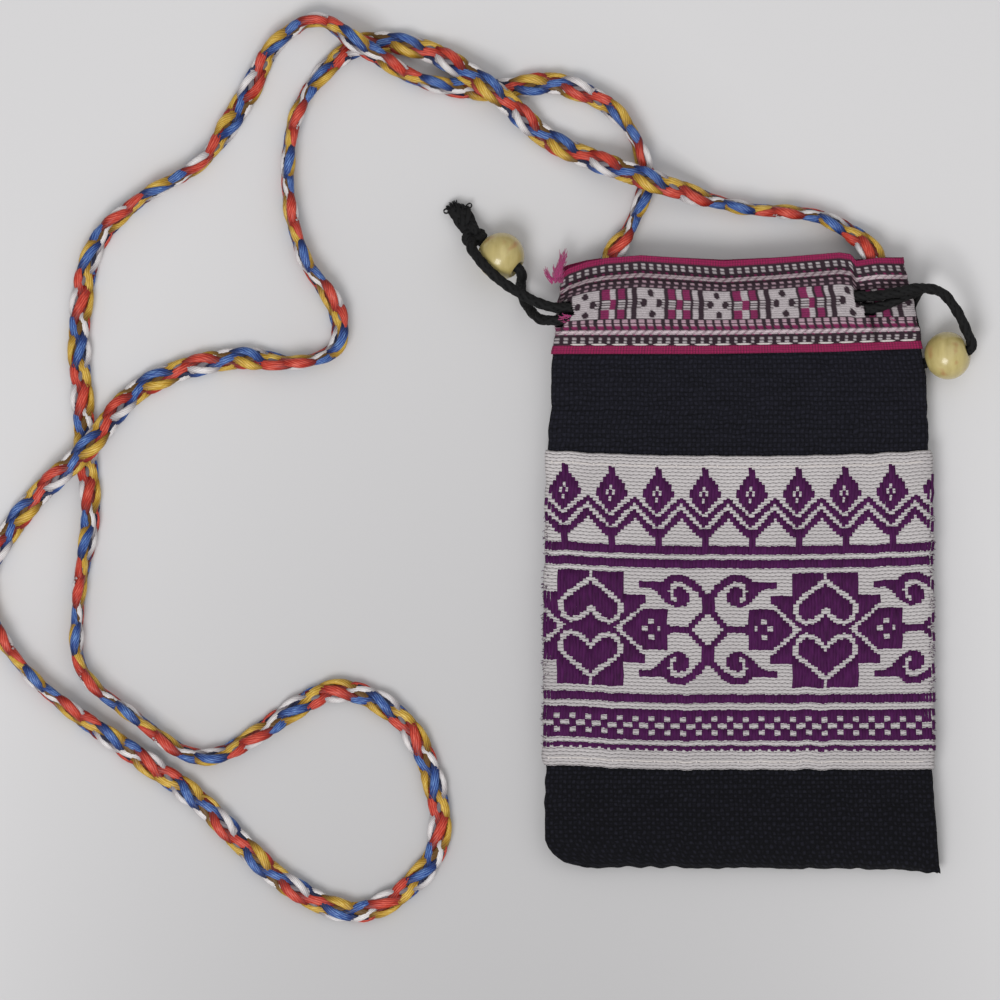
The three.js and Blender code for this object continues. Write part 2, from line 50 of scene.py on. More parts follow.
# camera straight above, with the whole cord in view
cameraSet = dict(x=-60.6, y=15.25, height=2000, view=250)
cameraData = bpy.data.cameras.new("camera")
cameraData.sensor_width = 36
cameraData.lens = 36 * cameraSet["height"] / cameraSet["view"]
cameraData.clip_end = 50
camera = bpy.data.objects.new("camera", cameraData)
camera.location = Vector((cameraSet["x"], cameraSet["y"], cameraSet["height"])) * mm
bpy.context.scene.collection.objects.link(camera)
bpy.context.scene.camera = camera
print("camera set")


# shader helpers: a socket that does maths, and a finish that adds nodes
class Term:
    def __init__(self, finish, socket):
        self.finish, self.socket = finish, socket

    def op(self, operation, *terms):
        return self.finish.node("ShaderNodeMath", {"operation": operation}, terms)

    def __add__(self, other): return self.op("ADD", self, other)
    def __radd__(self, other): return self.op("ADD", other, self)
    def __sub__(self, other): return self.op("SUBTRACT", self, other)
    def __rsub__(self, other): return self.op("SUBTRACT", other, self)
    def __mul__(self, other): return self.op("MULTIPLY", self, other)
    def __rmul__(self, other): return self.op("MULTIPLY", other, self)
    def __truediv__(self, other): return self.op("DIVIDE", self, other)
    def __pow__(self, other): return self.op("POWER", self, other)
    def sin(self): return self.op("SINE", self)
    def size(self): return self.op("ABSOLUTE", self)
    def part(self): return self.op("FRACT", self)
    def floor(self): return self.op("FLOOR", self)
    def most(self, other): return self.op("MAXIMUM", self, other)


class Finish:
    def __init__(self, name, roughness=0.8, gloss=0.5, **sockets):
        self.material = bpy.data.materials.new(name)
        self.material.use_nodes = True
        self.tree = self.material.node_tree
        self.shader = self.tree.nodes["Principled BSDF"]
        self.put(self.shader, {"Roughness": roughness, "Specular IOR Level": gloss, **sockets})

    def put(self, node, inputs):
        pairs = inputs.items() if isinstance(inputs, dict) else enumerate(inputs)
        for key, value in pairs:
            if isinstance(value, Term):
                self.tree.links.new(value.socket, node.inputs[key])
            else:
                node.inputs[key].default_value = value

    def node(self, kind, settings=None, inputs=(), output=0):
        node = self.tree.nodes.new(kind)
        for key, value in (settings or {}).items():
            if key == "stops":
                for stop, (place, colour) in zip(node.color_ramp.elements, value):
                    stop.position, stop.color = place, (*colour, 1)
            else:
                setattr(node, key, value)
        self.put(node, inputs)
        return Term(self, node.outputs[output])

    def axis(self, index, vector=None):
        return self.node("ShaderNodeSeparateXYZ", None, [vector or self.where()], index)

    def uv(self):
        place = self.node("ShaderNodeUVMap", {"uv_map": "laid"})
        return self.axis(0, place), self.axis(1, place)

    def where(self, scale=1):
        # place on the object in metres, times one scale or a scale for each axis
        place = self.node("ShaderNodeTexCoord", output=3)
        scales = scale if isinstance(scale, tuple) else (scale,) * 3
        return self.node("ShaderNodeVectorMath", {"operation": "MULTIPLY"}, [place, scales])

    def vector(self, x, y):
        return self.node("ShaderNodeCombineXYZ", None, [x, y])

    def noise(self, vector, detail=2.0, rough=0.5):
        inputs = {"Vector": vector, "Scale": 1, "Detail": detail, "Roughness": rough}
        return self.node("ShaderNodeTexNoise", None, inputs)

    def grain(self, scale, detail=2.0, rough=0.5):
        return self.noise(self.where(scale), detail, rough)

    def mix(self, share, first, second):
        return self.node("ShaderNodeMix", {"data_type": "RGBA"}, {0: share, 6: first, 7: second}, 2)

    def bump(self, height, strength, distance):
        inputs = {"Strength": strength, "Distance": distance * mm, "Height": height}
        self.put(self.shader, {"Normal": self.node("ShaderNodeBump", None, inputs)})

    def colour(self, value):
        self.put(self.shader, {"Base Color": value})

    def tint(self, share, first, second):
        self.colour(self.mix(share, paint(*first), paint(*second)))

    def rough(self, value):
        self.put(self.shader, {"Roughness": value})


def lit(red, green, blue):
    # screen colour, 0 to 255, to the light values that Blender works in
    out = []
    for value in (red, green, blue):
        share = value / 255
        out.append(share / 12.92 if share <= 0.04045 else ((share + 0.055) / 1.055) ** 2.4)
    return tuple(out)


def paint(red, green, blue):
    return (*lit(red, green, blue), 1)


# mesh helpers
def linked(name, data):
    made = bpy.data.objects.new(name, data)
    bpy.context.scene.collection.objects.link(made)
    return made


def addObject(name, bm, *finishes, smooth=True):
    mesh = bpy.data.meshes.new(name)
    bm.to_mesh(mesh)
    bm.free()
    for finish in finishes:
        mesh.materials.append(finish.material)
    if smooth:
        mesh.polygons.foreach_set("use_smooth", [True] * len(mesh.polygons))
    return linked(name, mesh)


def belongs(piece, body, node=None):
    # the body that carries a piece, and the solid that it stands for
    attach(piece, body)
    if node:
        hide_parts(node)


def laidGrid(bm, across, along, place, uvAt, material=0):
    # a grid whose points are laid by place(u, v), each from 0 to 1, with real sizes in its UV map
    layer = bm.loops.layers.uv.get("laid") or bm.loops.layers.uv.new("laid")
    grid = bmesh.ops.create_grid(bm, x_segments=across, y_segments=along, size=0.5)
    faces = {face for vert in grid["verts"] for face in vert.link_faces}
    flat = {vert: (vert.co.x + 0.5, vert.co.y + 0.5) for vert in grid["verts"]}
    for face in faces:
        face.material_index = material
        for loop in face.loops:
            loop[layer].uv = uvAt(*flat[loop.vert])
    for vert, (u, v) in flat.items():
        vert.co = place(u, v)


def pick(rows, share):
    return rows[round(share * (len(rows) - 1))]


def between(rows, value):
    # the height at a place of the line through (place, height) rows
    return np.interp(value, *zip(*rows))


def closeSeams(bm, gap, ends=False):
    # welds what lies closer than the gap, closes open ends if asked, and turns the faces outwards
    bmesh.ops.remove_doubles(bm, verts=bm.verts, dist=gap * mm)
    if ends:
        bmesh.ops.holes_fill(bm, edges=[edge for edge in bm.edges if edge.is_boundary], sides=0)
    bmesh.ops.recalc_face_normals(bm, faces=bm.faces)


def thicken(piece, wall):
    solid = piece.modifiers.new("wall", "SOLIDIFY")
    solid.thickness, solid.offset = wall * mm, -1


def tubesFromRoutes(name, routes, thickness, finishes, sides=6, slots=None):
    # one mesh of many thin tubes; each route is a list of (point, share of the full thickness)
    curve = bpy.data.curves.new(name, "CURVE")
    curve.dimensions = "3D"
    curve.bevel_depth = thickness / 2 * mm
    curve.bevel_resolution = (sides - 4) // 2
    curve.use_fill_caps = True
    for i, points in enumerate(routes):
        spline = curve.splines.new("POLY")
        spline.points.add(len(points) - 1)
        for spot, (place, share) in zip(spline.points, points):
            spot.co = (*place, 1)
            spot.radius = share
        spline.use_smooth = True
        spline.material_index = slots[i] if slots else 0
    for finish in finishes:
        curve.materials.append(finish.material)
    holder = linked(name, curve)
    mesh = bpy.data.meshes.new_from_object(holder.evaluated_get(bpy.context.evaluated_depsgraph_get()))
    mesh.name = name
    bpy.data.objects.remove(holder)
    bpy.data.curves.remove(curve)
    return linked(name, mesh)


def smoothStep(low, high, value):
    share = min(max((value - low) / (high - low), 0), 1)
    return share * share * (3 - 2 * share)


def smoothRoute(rows, step, lowest):
    # the route's curve through its points, the same as the part's, walked in even steps
    points = [Vector(row[:3]) for row in rows]
    turnAt = [row[3] if len(row) > 3 else 0 for row in rows]
    ends = [points[0] * 2 - points[1]] + points + [points[-1] * 2 - points[-2]]
    walk, turns = [], []
    for i in range(len(points) - 1):
        a, b, c, d = ends[i:i + 4]
        t0, t1, t2 = [max((q - p).length ** 0.5, 1e-4) for p, q in ((a, b), (b, c), (c, d))]
        m1 = ((b - a) / t0 - (c - a) / (t0 + t1) + (c - b) / t1) * t1
        m2 = ((c - b) / t1 - (d - b) / (t1 + t2) + (d - c) / t2) * t1
        for t in np.arange(24) / 24:
            spot = b * (2 * t**3 - 3 * t**2 + 1) + m1 * (t**3 - 2 * t**2 + t)
            spot += c * (3 * t**2 - 2 * t**3) + m2 * (t**3 - t**2)
            spot.z = max(spot.z, lowest)
            walk.append(spot)
            turns.append(turnAt[i] + (turnAt[i + 1] - turnAt[i]) * smoothStep(0, 1, t))
    walk.append(points[-1])
    turns.append(turnAt[-1])
    lengths = np.concatenate([[0], np.cumsum([(q - p).length for p, q in zip(walk, walk[1:])])])
    count = int(round(lengths[-1] / step))
    at = np.linspace(0, lengths[-1], count + 1)
    even = [np.interp(at, lengths, [p[k] for p in walk]) for k in range(3)]
    return [Vector(p) for p in zip(*even)], np.interp(at, lengths, turns), lengths[-1]


def carriedFrames(centres, upright):
    # side and top directions along a route: upright ones for a flat cord, or carried from point to point
    ways = []
    for i in range(len(centres)):
        ways.append((centres[min(i + 1, len(centres) - 1)] - centres[max(i - 1, 0)]).normalized())
    side = ways[0].cross(up)
    side = side.normalized() if side.length > 0.05 else Vector((1, 0, 0))
    frames = []
    for way in ways:
        side = way.cross(up).normalized() if upright else (side - way * side.dot(way)).normalized()
        frames.append((side, side.cross(way)))
    return frames


def braidedCord(name, centres, braid, finishes, turns=None, rolls=None):
    # four yarns wind each way round an oval, and show by turns in rings; turn tips the oval, roll the pattern
    frames = carriedFrames(centres, turns is not None)
    count, sides = len(centres), braid["sides"]
    turns = np.zeros(count) if turns is None else turns
    rolls = np.zeros(count) if rolls is None else rolls
    step = (centres[1] - centres[0]).length
    bm = bmesh.new()
    for way in (1, -1):
        for yarn in range(4):
            path, outs, rings = [], [], []
            colour = braid["order"][way][yarn]
            halfWide, halfThick = braid["yarnWide"] * braid["slim"][colour] / 2, braid["yarnThick"] / 2
            for i, centre in enumerate(centres):
                side, top = frames[i]
                turn = radians(turns[i])
                wide = side * cos(turn) + top * sin(turn)
                thick = top * cos(turn) - side * sin(turn)
                level = 8 * i * step / braid["pitch"]  # a yarn meets eight others in each turn
                lean = braid["lean"] * sin(pi / 2 * (level - (0.5 if way < 0 else 2.5)))
                angle = radians(way * (45 * level - lean) + 90 * yarn + rolls[i]) - turn
                rise = -way * (cos(pi / 2 * (level - 0.5)) + braid["show"])
                sink = halfThick + (1 + braid["show"] - rise) * braid["over"]
                a, b = (max(braid[size] / 2 - sink, braid["core"]) for size in ("wide", "thick"))
                path.append(centre + wide * a * cos(angle) + thick * b * sin(angle))
                outs.append((wide * cos(angle) / a + thick * sin(angle) / b).normalized())
            for i in range(count):
                before, after = max(i - 1, 0), min(i + 1, count - 1)
                along = (path[after] - path[before]).normalized()
                across = along.cross(outs[before] + outs[i] + outs[after]).normalized() * halfWide
                out = across.cross(along).normalized() * halfThick
                corners = [2 * pi * k / sides for k in range(sides)]
                rings.append([(path[i] + across * cos(k) + out * sin(k)) * mm for k in corners])

            def place(u, v):
                return pick(rings, u)[round(v * sides) % sides]

            def sizes(u, v):  # half a ring further on for the yarns that show between the others
                along = u * step * (count - 1) + (braid["pitch"] / 4 if way > 0 else 0)
                return along, v * pi * (braid["yarnWide"] + braid["yarnThick"]) / 2

            laidGrid(bm, count - 1, sides, place, sizes, colour)
    closeSeams(bm, 0.0005, ends=True)
    return addObject(name, bm, *finishes)


# yarns of the neck cord: shiny floss, with the plies and fine fibres of each yarn, painted lighter in the
# middle of each showing stretch and darker at its ends as shade, and with painted highlights
def flossFinish(name, colour, shade, shine):
    floss = Finish(name, 0.4, gloss=0.35, **{"Coat Weight": 0.15, "Coat Roughness": 0.25})
    along, around = floss.uv()
    wander = floss.noise(floss.vector(along * 0.4, around * 0.8), 2)
    ply = ((around + along * 0.16 + wander * 0.5) * (2 * pi / 0.52)).sin() * 0.5 + 0.5
    fibre = floss.noise(floss.vector(along * 0.5, around * 9), 3, 0.65)
    # painted light and shade: each showing stretch of yarn is lit in its middle and shaded at its ends
    paintedPatchLight = ((along - 1.5 + wander * 0.8 + 3) * (pi / 6)).sin() * 0.5 + 0.5  # rings are 12 mm apart
    body = floss.mix(ply * 0.3 + fibre * 0.6 + paintedPatchLight * 0.95 - 0.6, paint(*shade), paint(*colour))
    # painted highlight: glints of the shine colour on the fibres and the middles of the stretches
    glint = (fibre * 2.6 + ply * 0.35 + paintedPatchLight * 0.8 - 2.15).most(0)
    floss.colour(floss.mix(glint, body, paint(*shine)))
    floss.rough(0.3 + fibre * 0.25)
    floss.bump(ply * 0.6 + fibre * 0.6, 0.7, 0.16)
    return floss


redFloss = flossFinish("red_floss", (200, 42, 16), (92, 7, 2), (248, 140, 116))
blueFloss = flossFinish("blue_floss", (10, 66, 154), (1, 9, 46), (160, 204, 250))
goldFloss = flossFinish("gold_floss", (210, 160, 22), (92, 60, 0), (255, 240, 150))
whiteFloss = flossFinish("white_floss", (234, 228, 227), (112, 104, 110), (255, 255, 255))


# neck cord: x, y, z of the route, and how far the flat braid is turned on to its edge there, in degrees
neckBraid = dict(wide=6.1, thick=3.7, pitch=24.0, yarnWide=2.4, yarnThick=1.5, over=0.4, core=0.6, lean=13,
                 show=0.35, sides=8, step=0.9, order={-1: (0, 2, 1, 3), 1: (0, 2, 1, 3)},
                 slim=(1.05, 0.96, 1.02, 0.76), clear=0.3)
mouthY = 76.5
low, inMouth = 1.95, 5.8
neckRows = [
    (-34.6, mouthY - 10, inMouth, 0), (-32.8, mouthY - 1, inMouth, 20), (-27.4, 84.8, 3.2, 75),
    (-24.1, 95.3, low, 50), (-27.4, 106.5, low, 80), (-34.6, 114.3, low, 45), (-46.6, 119.2, low, 0),
    (-61.4, 117.8, low, 0), (-79.6, 119.8, low, 70), (-95.6, 128.8, 6.9, 45), (-106.4, 135.2, low, 80),
    (-116.6, 129.0, low, 60), (-124.6, 115.0, low, 0), (-135.0, 99.8, low, 75), (-150.4, 90.2, low, 75),
    (-161.2, 79.4, low, 45), (-165.4, 62.0, low, 0), (-164.0, 27.6, low, 0), (-162.8, 12.0, low, 45),
    (-165.8, -10.0, low, 80), (-165.0, -27.0, low, 80), (-152.0, -38.8, low, 80), (-134.4, -49.0, low, 60),
    (-101.6, -32.4, low, 10), (-86.4, -38.4, low, 0), (-76.6, -57.0, low, 0), (-77.6, -74.6, low, 0),
    (-95.4, -87.6, low, 10), (-114.0, -80.4, low, 0), (-136.2, -59.6, low, 0),
    (-179.6, -26.6, low, 80), (-189.2, -7.2, low, 45), (-180.6, 11.0, low, 0), (-164.0, 27.6, 6.2, 0),
    (-149.8, 43.4, low, 0), (-126.8, 50.6, low, 0), (-111.0, 49.6, low, 80), (-101.6, 53.2, low, 60),
    (-101.2, 62.4, low, 45), (-109.6, 76.0, low, 75), (-113.6, 95.2, low, 75), (-110.0, 114.6, low, 70),
    (-95.6, 128.8, low, 15), (-80.6, 128.0, low, 5), (-62.4, 117.4, 6.2, 0), (-48.4, 105.4, low, 0),
    (-24.1, 95.3, 7.3, 0), (-1.2, 88.4, low, 80), (20.6, 85.4, low, 70), (32.4, mouthY, inMouth, 20),
    (34.4, mouthY - 10, inMouth, 0),
]
centred, paired = -67.5, -22.5  # blue and red on top, or beside gold and white
neckRoll = [
    (0, centred), (32, centred), (38, paired), (80, paired), (88, centred), (130, centred), (140, paired),
    (188, paired), (207, centred), (475, centred), (485, paired), (520, paired), (532, centred), (600, centred),
    (612, paired), (698, paired), (707, centred), (785, centred), (795, paired), (888, paired), (900, centred),
    (960, centred),
]


def neckCord():
    centres, turns, _ = smoothRoute(neckRows, neckBraid["step"], low)
    halfWide, halfThick = neckBraid["wide"] / 2, neckBraid["thick"] / 2
    for centre, turn in zip(centres, np.radians(turns)):  # on its edge the braid stands higher
        stand = hypot(halfWide * sin(turn), halfThick * cos(turn))
        centre.z = max(centre.z, stand + neckBraid["clear"])
    rolls = between(neckRoll, np.arange(len(centres)) * neckBraid["step"])
    cord = braidedCord("neck_cord_braid", centres, neckBraid, [redFloss, blueFloss, goldFloss, whiteFloss],
                       turns, rolls)
    belongs(cord, "pouch", "neck_cord")
    path = [centre * mm for centre in centres]
    length = sum((q - p).length for p, q in zip(path, path[1:]))
    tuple(path[0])
    print("neck cord", round(length / mm), "mm long")


neckCord()


# black drawstring cord, its knots and its cut ends
drawstringFinish = Finish("black_cord", 0.8, gloss=0.25)
along, around = drawstringFinish.uv()
fibre = drawstringFinish.noise(drawstringFinish.vector(along * 0.6, around * 5), 3, 0.6)
drawstringFinish.tint(fibre, (3, 3, 4), (24, 24, 25))
drawstringFinish.rough(0.62 + fibre * 0.3)
drawstringFinish.bump(fibre, 0.5, 0.1)
knotFinish = Finish("black_thread", 0.8, gloss=0.3)
fleck = knotFinish.grain(2200, 3, 0.65)
knotFinish.tint(fleck, (5, 5, 6), (28, 28, 29))
knotFinish.rough(0.7 + fleck * 0.2)
knotFinish.bump(fleck, 0.7, 0.2)

cordBraid = dict(wide=2.8, thick=2.8, pitch=9.0, yarnWide=1.25, yarnThick=0.72, over=0.1, core=0.3, lean=13,
                 show=0.35, sides=6, step=0.5, order={1: (0, 0, 0, 0), -1: (0, 0, 0, 0)}, slim=(1,))
tailBraid = dict(cordBraid, wide=4.0, thick=2.7, yarnWide=1.6)
strandForm = dict(floor=1.45, lane=11.3, inCasing=(28, 3, 0), intoKnot=2.2, toBead=6.25, pastBead=5.75)
knotForm = dict(steps=56, long=0.74, broad=0.7, rope=1.4, threads=70, pulled=2, thread=0.24, lowest=0.12)
trimLeft, trimRight, slitX = -47.07, 42.44, 30
leftLanes, rightLanes = (59.9, 63.1), (62.7, 65.9)
leftBead, leftWay = Vector((-60.37, 76.0, 6.0)), Vector((-0.77, 0.59, -0.24)).normalized()
rightBead, rightKnot = Vector((50.94, 51.25, 6.2)), Vector((42.04, 47.6, 1.5))
rightWay = Vector((-0.93, -0.3, -0.21)).normalized()
leftKnot = leftBead + leftWay * 8.85


def strandRoute(endX, inward, lane, start, rows, through, knot):
    # along the lane and out of the casing, by the rows, through the bead and into the knot;
    # a row's third value is 1 at the lane's height and 0 on the surface
    form = strandForm
    fall = form["lane"] - form["floor"]
    route = [(endX + inward * reach, lane, form["lane"]) for reach in form["inCasing"]]
    route += [(start[0] + x, start[1] + y, form["floor"] + fall * share) for x, y, share in rows]
    route += [tuple(spot) for spot in through]
    return route + [tuple(knot + (Vector(route[-1]) - knot).normalized() * form["intoKnot"])]


leftStart, rightStart = (trimLeft, leftLanes[0]), (trimRight, rightLanes[1])
strandRoutes = dict(
    left_drawstring_upper=strandRoute(
        trimLeft, 1, leftLanes[1], leftStart,
        [(-4.3, 4.5, 0.97), (-8.5, 6.7, 0.95), (-12.6, 9.3, 1), (-16.05, 12.2, 1.06), (-18.85, 15.4, 0.96),
         (-20.7, 18.3, 0.68)], [], leftKnot),
    left_drawstring_lower=strandRoute(
        trimLeft, 1, leftLanes[0], leftStart,
        [(-3.3, 0.3, 0.79), (-5.8, 2.5, 0.36), (-7.5, 5.3, 0.08), (-8.3, 8.3, 0.08)],
        [leftBead - leftWay * strandForm["toBead"], leftBead], leftKnot),
    right_drawstring_upper=strandRoute(
        slitX, -1, rightLanes[1], rightStart,
        [(-9.4, 0.1, 1.02), (-6.4, 0.6, 1.15), (-3.5, 1.1, 1.24), (-0.4, 1.8, 1.24), (3.0, 1.9, 1.15),
         (6.9, 0.8, 1.01), (10.7, -3.8, 0.89), (12.8, -7.9, 0.74)],
        [rightBead - rightWay * strandForm["toBead"], rightBead, rightBead + rightWay * strandForm["pastBead"]],
        rightKnot),
    right_drawstring_lower=strandRoute(
        slitX, -1, rightLanes[0], rightStart,
        [(-8.2, -2.5, 1), (-4.0, -0.7, 1), (-1.2, 0.5, 0.98), (0.9, 1.2, 0.85), (1.5, 1.7, 0.58),
         (1.4, 1.4, 0.32), (0.6, 0, 0.12), (-0.4, -2.9, 0), (0.5, -7.3, 0), (0.9, -10.4, 0), (0.4, -12.9, 0)],
        [], rightKnot))


def joined(name, pieces):
    # one object out of several, with each piece's finish kept
    bm, materials = bmesh.new(), []
    for piece in pieces:
        for face in piece.data.polygons:
            face.material_index += len(materials)
        materials += list(piece.data.materials)
        bm.from_mesh(piece.data)
        bpy.data.objects.remove(piece)
    made = addObject(name, bm, smooth=False)
    for material in materials:
        made.data.materials.append(material)
    return made


def knotWithTails(name, centre, way, height, tails, node, body):
    # an overhand knot drawn tight, with its cut and frayed ends standing out of it
    form = knotForm
    side = way.cross(up).normalized()
    top = side.cross(way)
    loop = []
    for k in range(form["steps"] + 1):
        t = 2 * pi * k / form["steps"]
        x = sin(t) + 2 * sin(2 * t)
        y = cos(t) - 2 * cos(2 * t)
        lift = sin(3 * t) * (height / 2 - form["rope"])
        loop.append(centre + way * x * form["long"] + side * y * form["broad"] - top * lift)
    pieces = [braidedCord(name + "_loop", loop, cordBraid, [drawstringFinish])]
    rng = random.Random(name)
    hairs = []
    for tail in tails:
        points, _, _ = smoothRoute([centre] + [centre + Vector(row) for row in tail], 0.5, form["rope"])
        pieces.append(braidedCord(name + "_tail", points, tailBraid, [drawstringFinish]))
        tip, aimAt = points[-1], (points[-1] - points[-4]).normalized()
        across = aimAt.cross(up).normalized()
        for k in range(form["threads"]):  # threads of the cut end
            turn, out = rng.uniform(0, 2 * pi), rng.uniform(0.1, 1.5)
            start = tip + across * cos(turn) * out + up * sin(turn) * out * 0.9
            aim = aimAt + across * rng.uniform(-0.7, 0.7) + up * rng.uniform(-0.5, 0.4)
            reach = rng.uniform(0.4, 1.5)
            curl = Vector((rng.uniform(-1, 1), rng.uniform(-1, 1), rng.uniform(-0.4, 0.4))) * 0.45
            hairs.append([start - aim * 0.8, start + aim * reach * 0.5, start + aim * reach + curl])
        for k in range(form["pulled"]):  # a pulled thread stands out as a small loop
            root = tip + across * rng.choice((-1, 1)) * 1.1
            aim = (aimAt * rng.uniform(0.2, 0.8) + across * (root - tip).dot(across)).normalized()
            ring = []
            for i in range(11):
                turn = 2 * pi * i / 10
                ring.append(root + aim * (0.8 - 0.8 * cos(turn)) + aim.cross(up) * 0.55 * sin(turn))
            hairs.append(ring)
    for spot in (spot for hair in hairs for spot in hair):
        spot.z = max(spot.z, form["lowest"])
    routes = [[(spot * mm, 1.0) for spot in hair] for hair in hairs]
    pieces.append(tubesFromRoutes(name + "_threads", routes, form["thread"], [knotFinish], 4))
    knot = joined(name, pieces)
    belongs(knot, body, node)
    return knot


leftTails = [[(-2.7, 3.4, -1.2), (-5.0, 7.0, -2.0)], [(-1.2, 3.2, -1.0), (-2.7, 6.4, -1.7)]]
rightTails = [[(-0.6, -3.4, -0.1), (0.2, -6.2, -0.2)]]
leftKnotPiece = knotWithTails("left_knot_tied", leftKnot, leftWay, 4.8, leftTails, "left_knot",
                              "left_drawstring")
rightFlat = Vector((rightWay.x, rightWay.y, 0)).normalized()
rightKnotPiece = knotWithTails("right_knot_tied", rightKnot, rightFlat, 2.8, rightTails, "right_knot",
                               "right_drawstring")


# wooden beads, turned about their bore and lacquered
beadForm = dict(across=12.0, length=10.5, bore=3.6, rim=0.7)
beadFinish = Finish("lacquered_wood", 0.4, **{"Coat Weight": 0.7, "Coat Roughness": 0.16, "Coat IOR": 1.5})
grain = beadFinish.grain((900, 240, 500), 4, 0.55)
ring = beadFinish.grain((420, 90, 260), 2, 0.5)
speck = beadFinish.grain(330, 1, 0.5)
tone = beadFinish.node("ShaderNodeValToRGB", {"stops": [(0.3, lit(166, 148, 84)), (0.7, lit(198, 182, 120))]},
                       [ring * 0.6 + grain * 0.4])
stain = (speck * 5 - 3.05).most(0) * 0.7
beadFinish.colour(beadFinish.mix(stain, tone, paint(168, 104, 62)))
beadFinish.rough(0.32 + grain * 0.15)
beadFinish.bump(grain, 0.12, 0.08)


def bead(name, centre, way, node, body):
    half, outer, bore = (beadForm[size] / 2 for size in ("length", "across", "bore"))
    rim = beadForm["rim"]
    bm = bmesh.new()
    profile = []
    rimTurn = acos((bore + rim) / outer)
    for k in range(25):  # outside, from one rim to the other
        turn = -rimTurn + 2 * rimTurn * k / 24
        profile.append((outer * cos(turn), half * sin(turn) / sin(rimTurn)))
    for end, steps in ((1, range(1, 6)), (-1, range(5, 0, -1))):  # rounded rims into and out of the bore
        for k in steps:
            turn = pi / 2 * k / 5
            profile.append((bore + rim - rim * sin(turn), end * (half - rim * (1 - cos(turn)))))
    spots = [bm.verts.new((r, 0, z)) for r, z in profile]
    edges = [bm.edges.new((spots[i - 1], spots[i])) for i in range(len(spots))]
    bmesh.ops.spin(bm, geom=spots + edges, cent=(0, 0, 0), axis=(0, 0, 1), angle=2 * pi, steps=48,
                   use_merge=True)
    closeSeams(bm, 0.01)
    turnTo = up.rotation_difference(way).to_matrix()
    for vert in bm.verts:
        vert.co = (turnTo @ vert.co + centre) * mm
    made = addObject(name, bm, beadFinish)
    belongs(made, body, node)
    return made


leftBeadPiece = bead("left_bead_turned", leftBead, leftWay, "left_bead", "left_bead")
rightBeadPiece = bead("right_bead_turned", rightBead, rightWay, "right_bead", "right_bead")

onStrand = dict(left_drawstring_upper=[leftKnotPiece], left_drawstring_lower=[leftBeadPiece],
                right_drawstring_upper=[rightBeadPiece], right_drawstring_lower=[rightKnotPiece])
for node, rows in strandRoutes.items():
    centres, _, length = smoothRoute(rows, cordBraid["step"], strandForm["floor"])
    strand = braidedCord(node + "_braid", centres, cordBraid, [drawstringFinish])
    belongs(strand, node.rsplit("_", 1)[0], node)
    casingEnd = rows[len(strandForm["inCasing"]) - 1]
    Vector(casingEnd) * mm
    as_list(onStrand[node])
print("drawstrings, knots and beads made")


# form of the pouch: every layer of cloth is laid on the same sagging shell
pouchForm = dict(foot=-76.5, panelFoot=-51.5, panelHead=27.3, trimFoot=53.1, mouth=76.5, cornerRadius=10,
                 footRound=14, footEdge=3.2, backAtPanel=1.0, backAtTrim=2.8, front=8.8, foldShare=0.68,
                 sag=0.45, squareness=8, girth=196, wall=0.7, rowStep=1.0, samples=200, uneven=0.5,
                 unevenStep=2.4, mouthFade=(55, 74), footFade=(-60, -76), backMouth=0.75)
clothRipples = [(0.32, 17, 21, 4.2), (0.12, 5, 6, 9.7)]  # height, length across and along, and seed
edgeY = [pouchForm["foot"], pouchForm["panelFoot"], pouchForm["panelHead"], 44, 49.5, pouchForm["trimFoot"],
         pouchForm["mouth"]]
leftEdge = [-50.2, -49.3, -48.6, -47.8, -47.6, -47.0, -45.1]
rightEdge = [49.4, 47.0, 46.3, 45.8, 45.4, 44.3, 39.5]


def quarterRise(distance, radius):
    share = min(max(distance / radius, 0), 1)
    return sqrt(max(0, 1 - (1 - share) ** 2))


def edgeWave(place, seed):
    # the weave shows as small steps along the cloth's edges
    return pouchForm["uneven"] * noise.noise((place / pouchForm["unevenStep"], seed, 0.3))


def sectionAt(y):
    # half the section's points each for front and back, evenly spread along the cloth
    form = pouchForm
    rise = y - form["foot"]
    cut = form["cornerRadius"] * (1 - quarterRise(rise, form["cornerRadius"]))
    left, right = np.interp(y, edgeY, leftEdge) + cut, np.interp(y, edgeY, rightEdge)
    left, right = left + edgeWave(y, 1.5), right + edgeWave(y, 8.5)
    fill = quarterRise(rise, form["footRound"])
    lowBack = np.interp(y, [form["panelHead"], form["trimFoot"]], [form["backAtPanel"], form["backAtTrim"]])
    back = form["footEdge"] + (lowBack - form["footEdge"]) * fill
    front = form["footEdge"] + (form["front"] - form["footEdge"]) * fill
    fold = back + (front - back) * form["foldShare"]
    across = np.sin(np.linspace(-pi / 2, pi / 2, 241))
    rim = np.sqrt(np.clip(1 - np.abs(across) ** form["squareness"], 0, 1))
    x = (left + right) / 2 + across * (right - left) / 2
    frontZ = fold + (front - fold - form["sag"] * fill * across**2) * rim
    backZ = fold + (back - fold) * rim
    halves = []
    for xs, zs in ((x, frontZ), (x[::-1], backZ[::-1])):
        lengths = np.concatenate([[0], np.cumsum(np.hypot(np.diff(xs), np.diff(zs)))])
        at = np.linspace(0, lengths[-1], form["samples"] + 1)
        halves.append((np.interp(at, lengths, xs), np.interp(at, lengths, zs), lengths[-1]))
    return halves


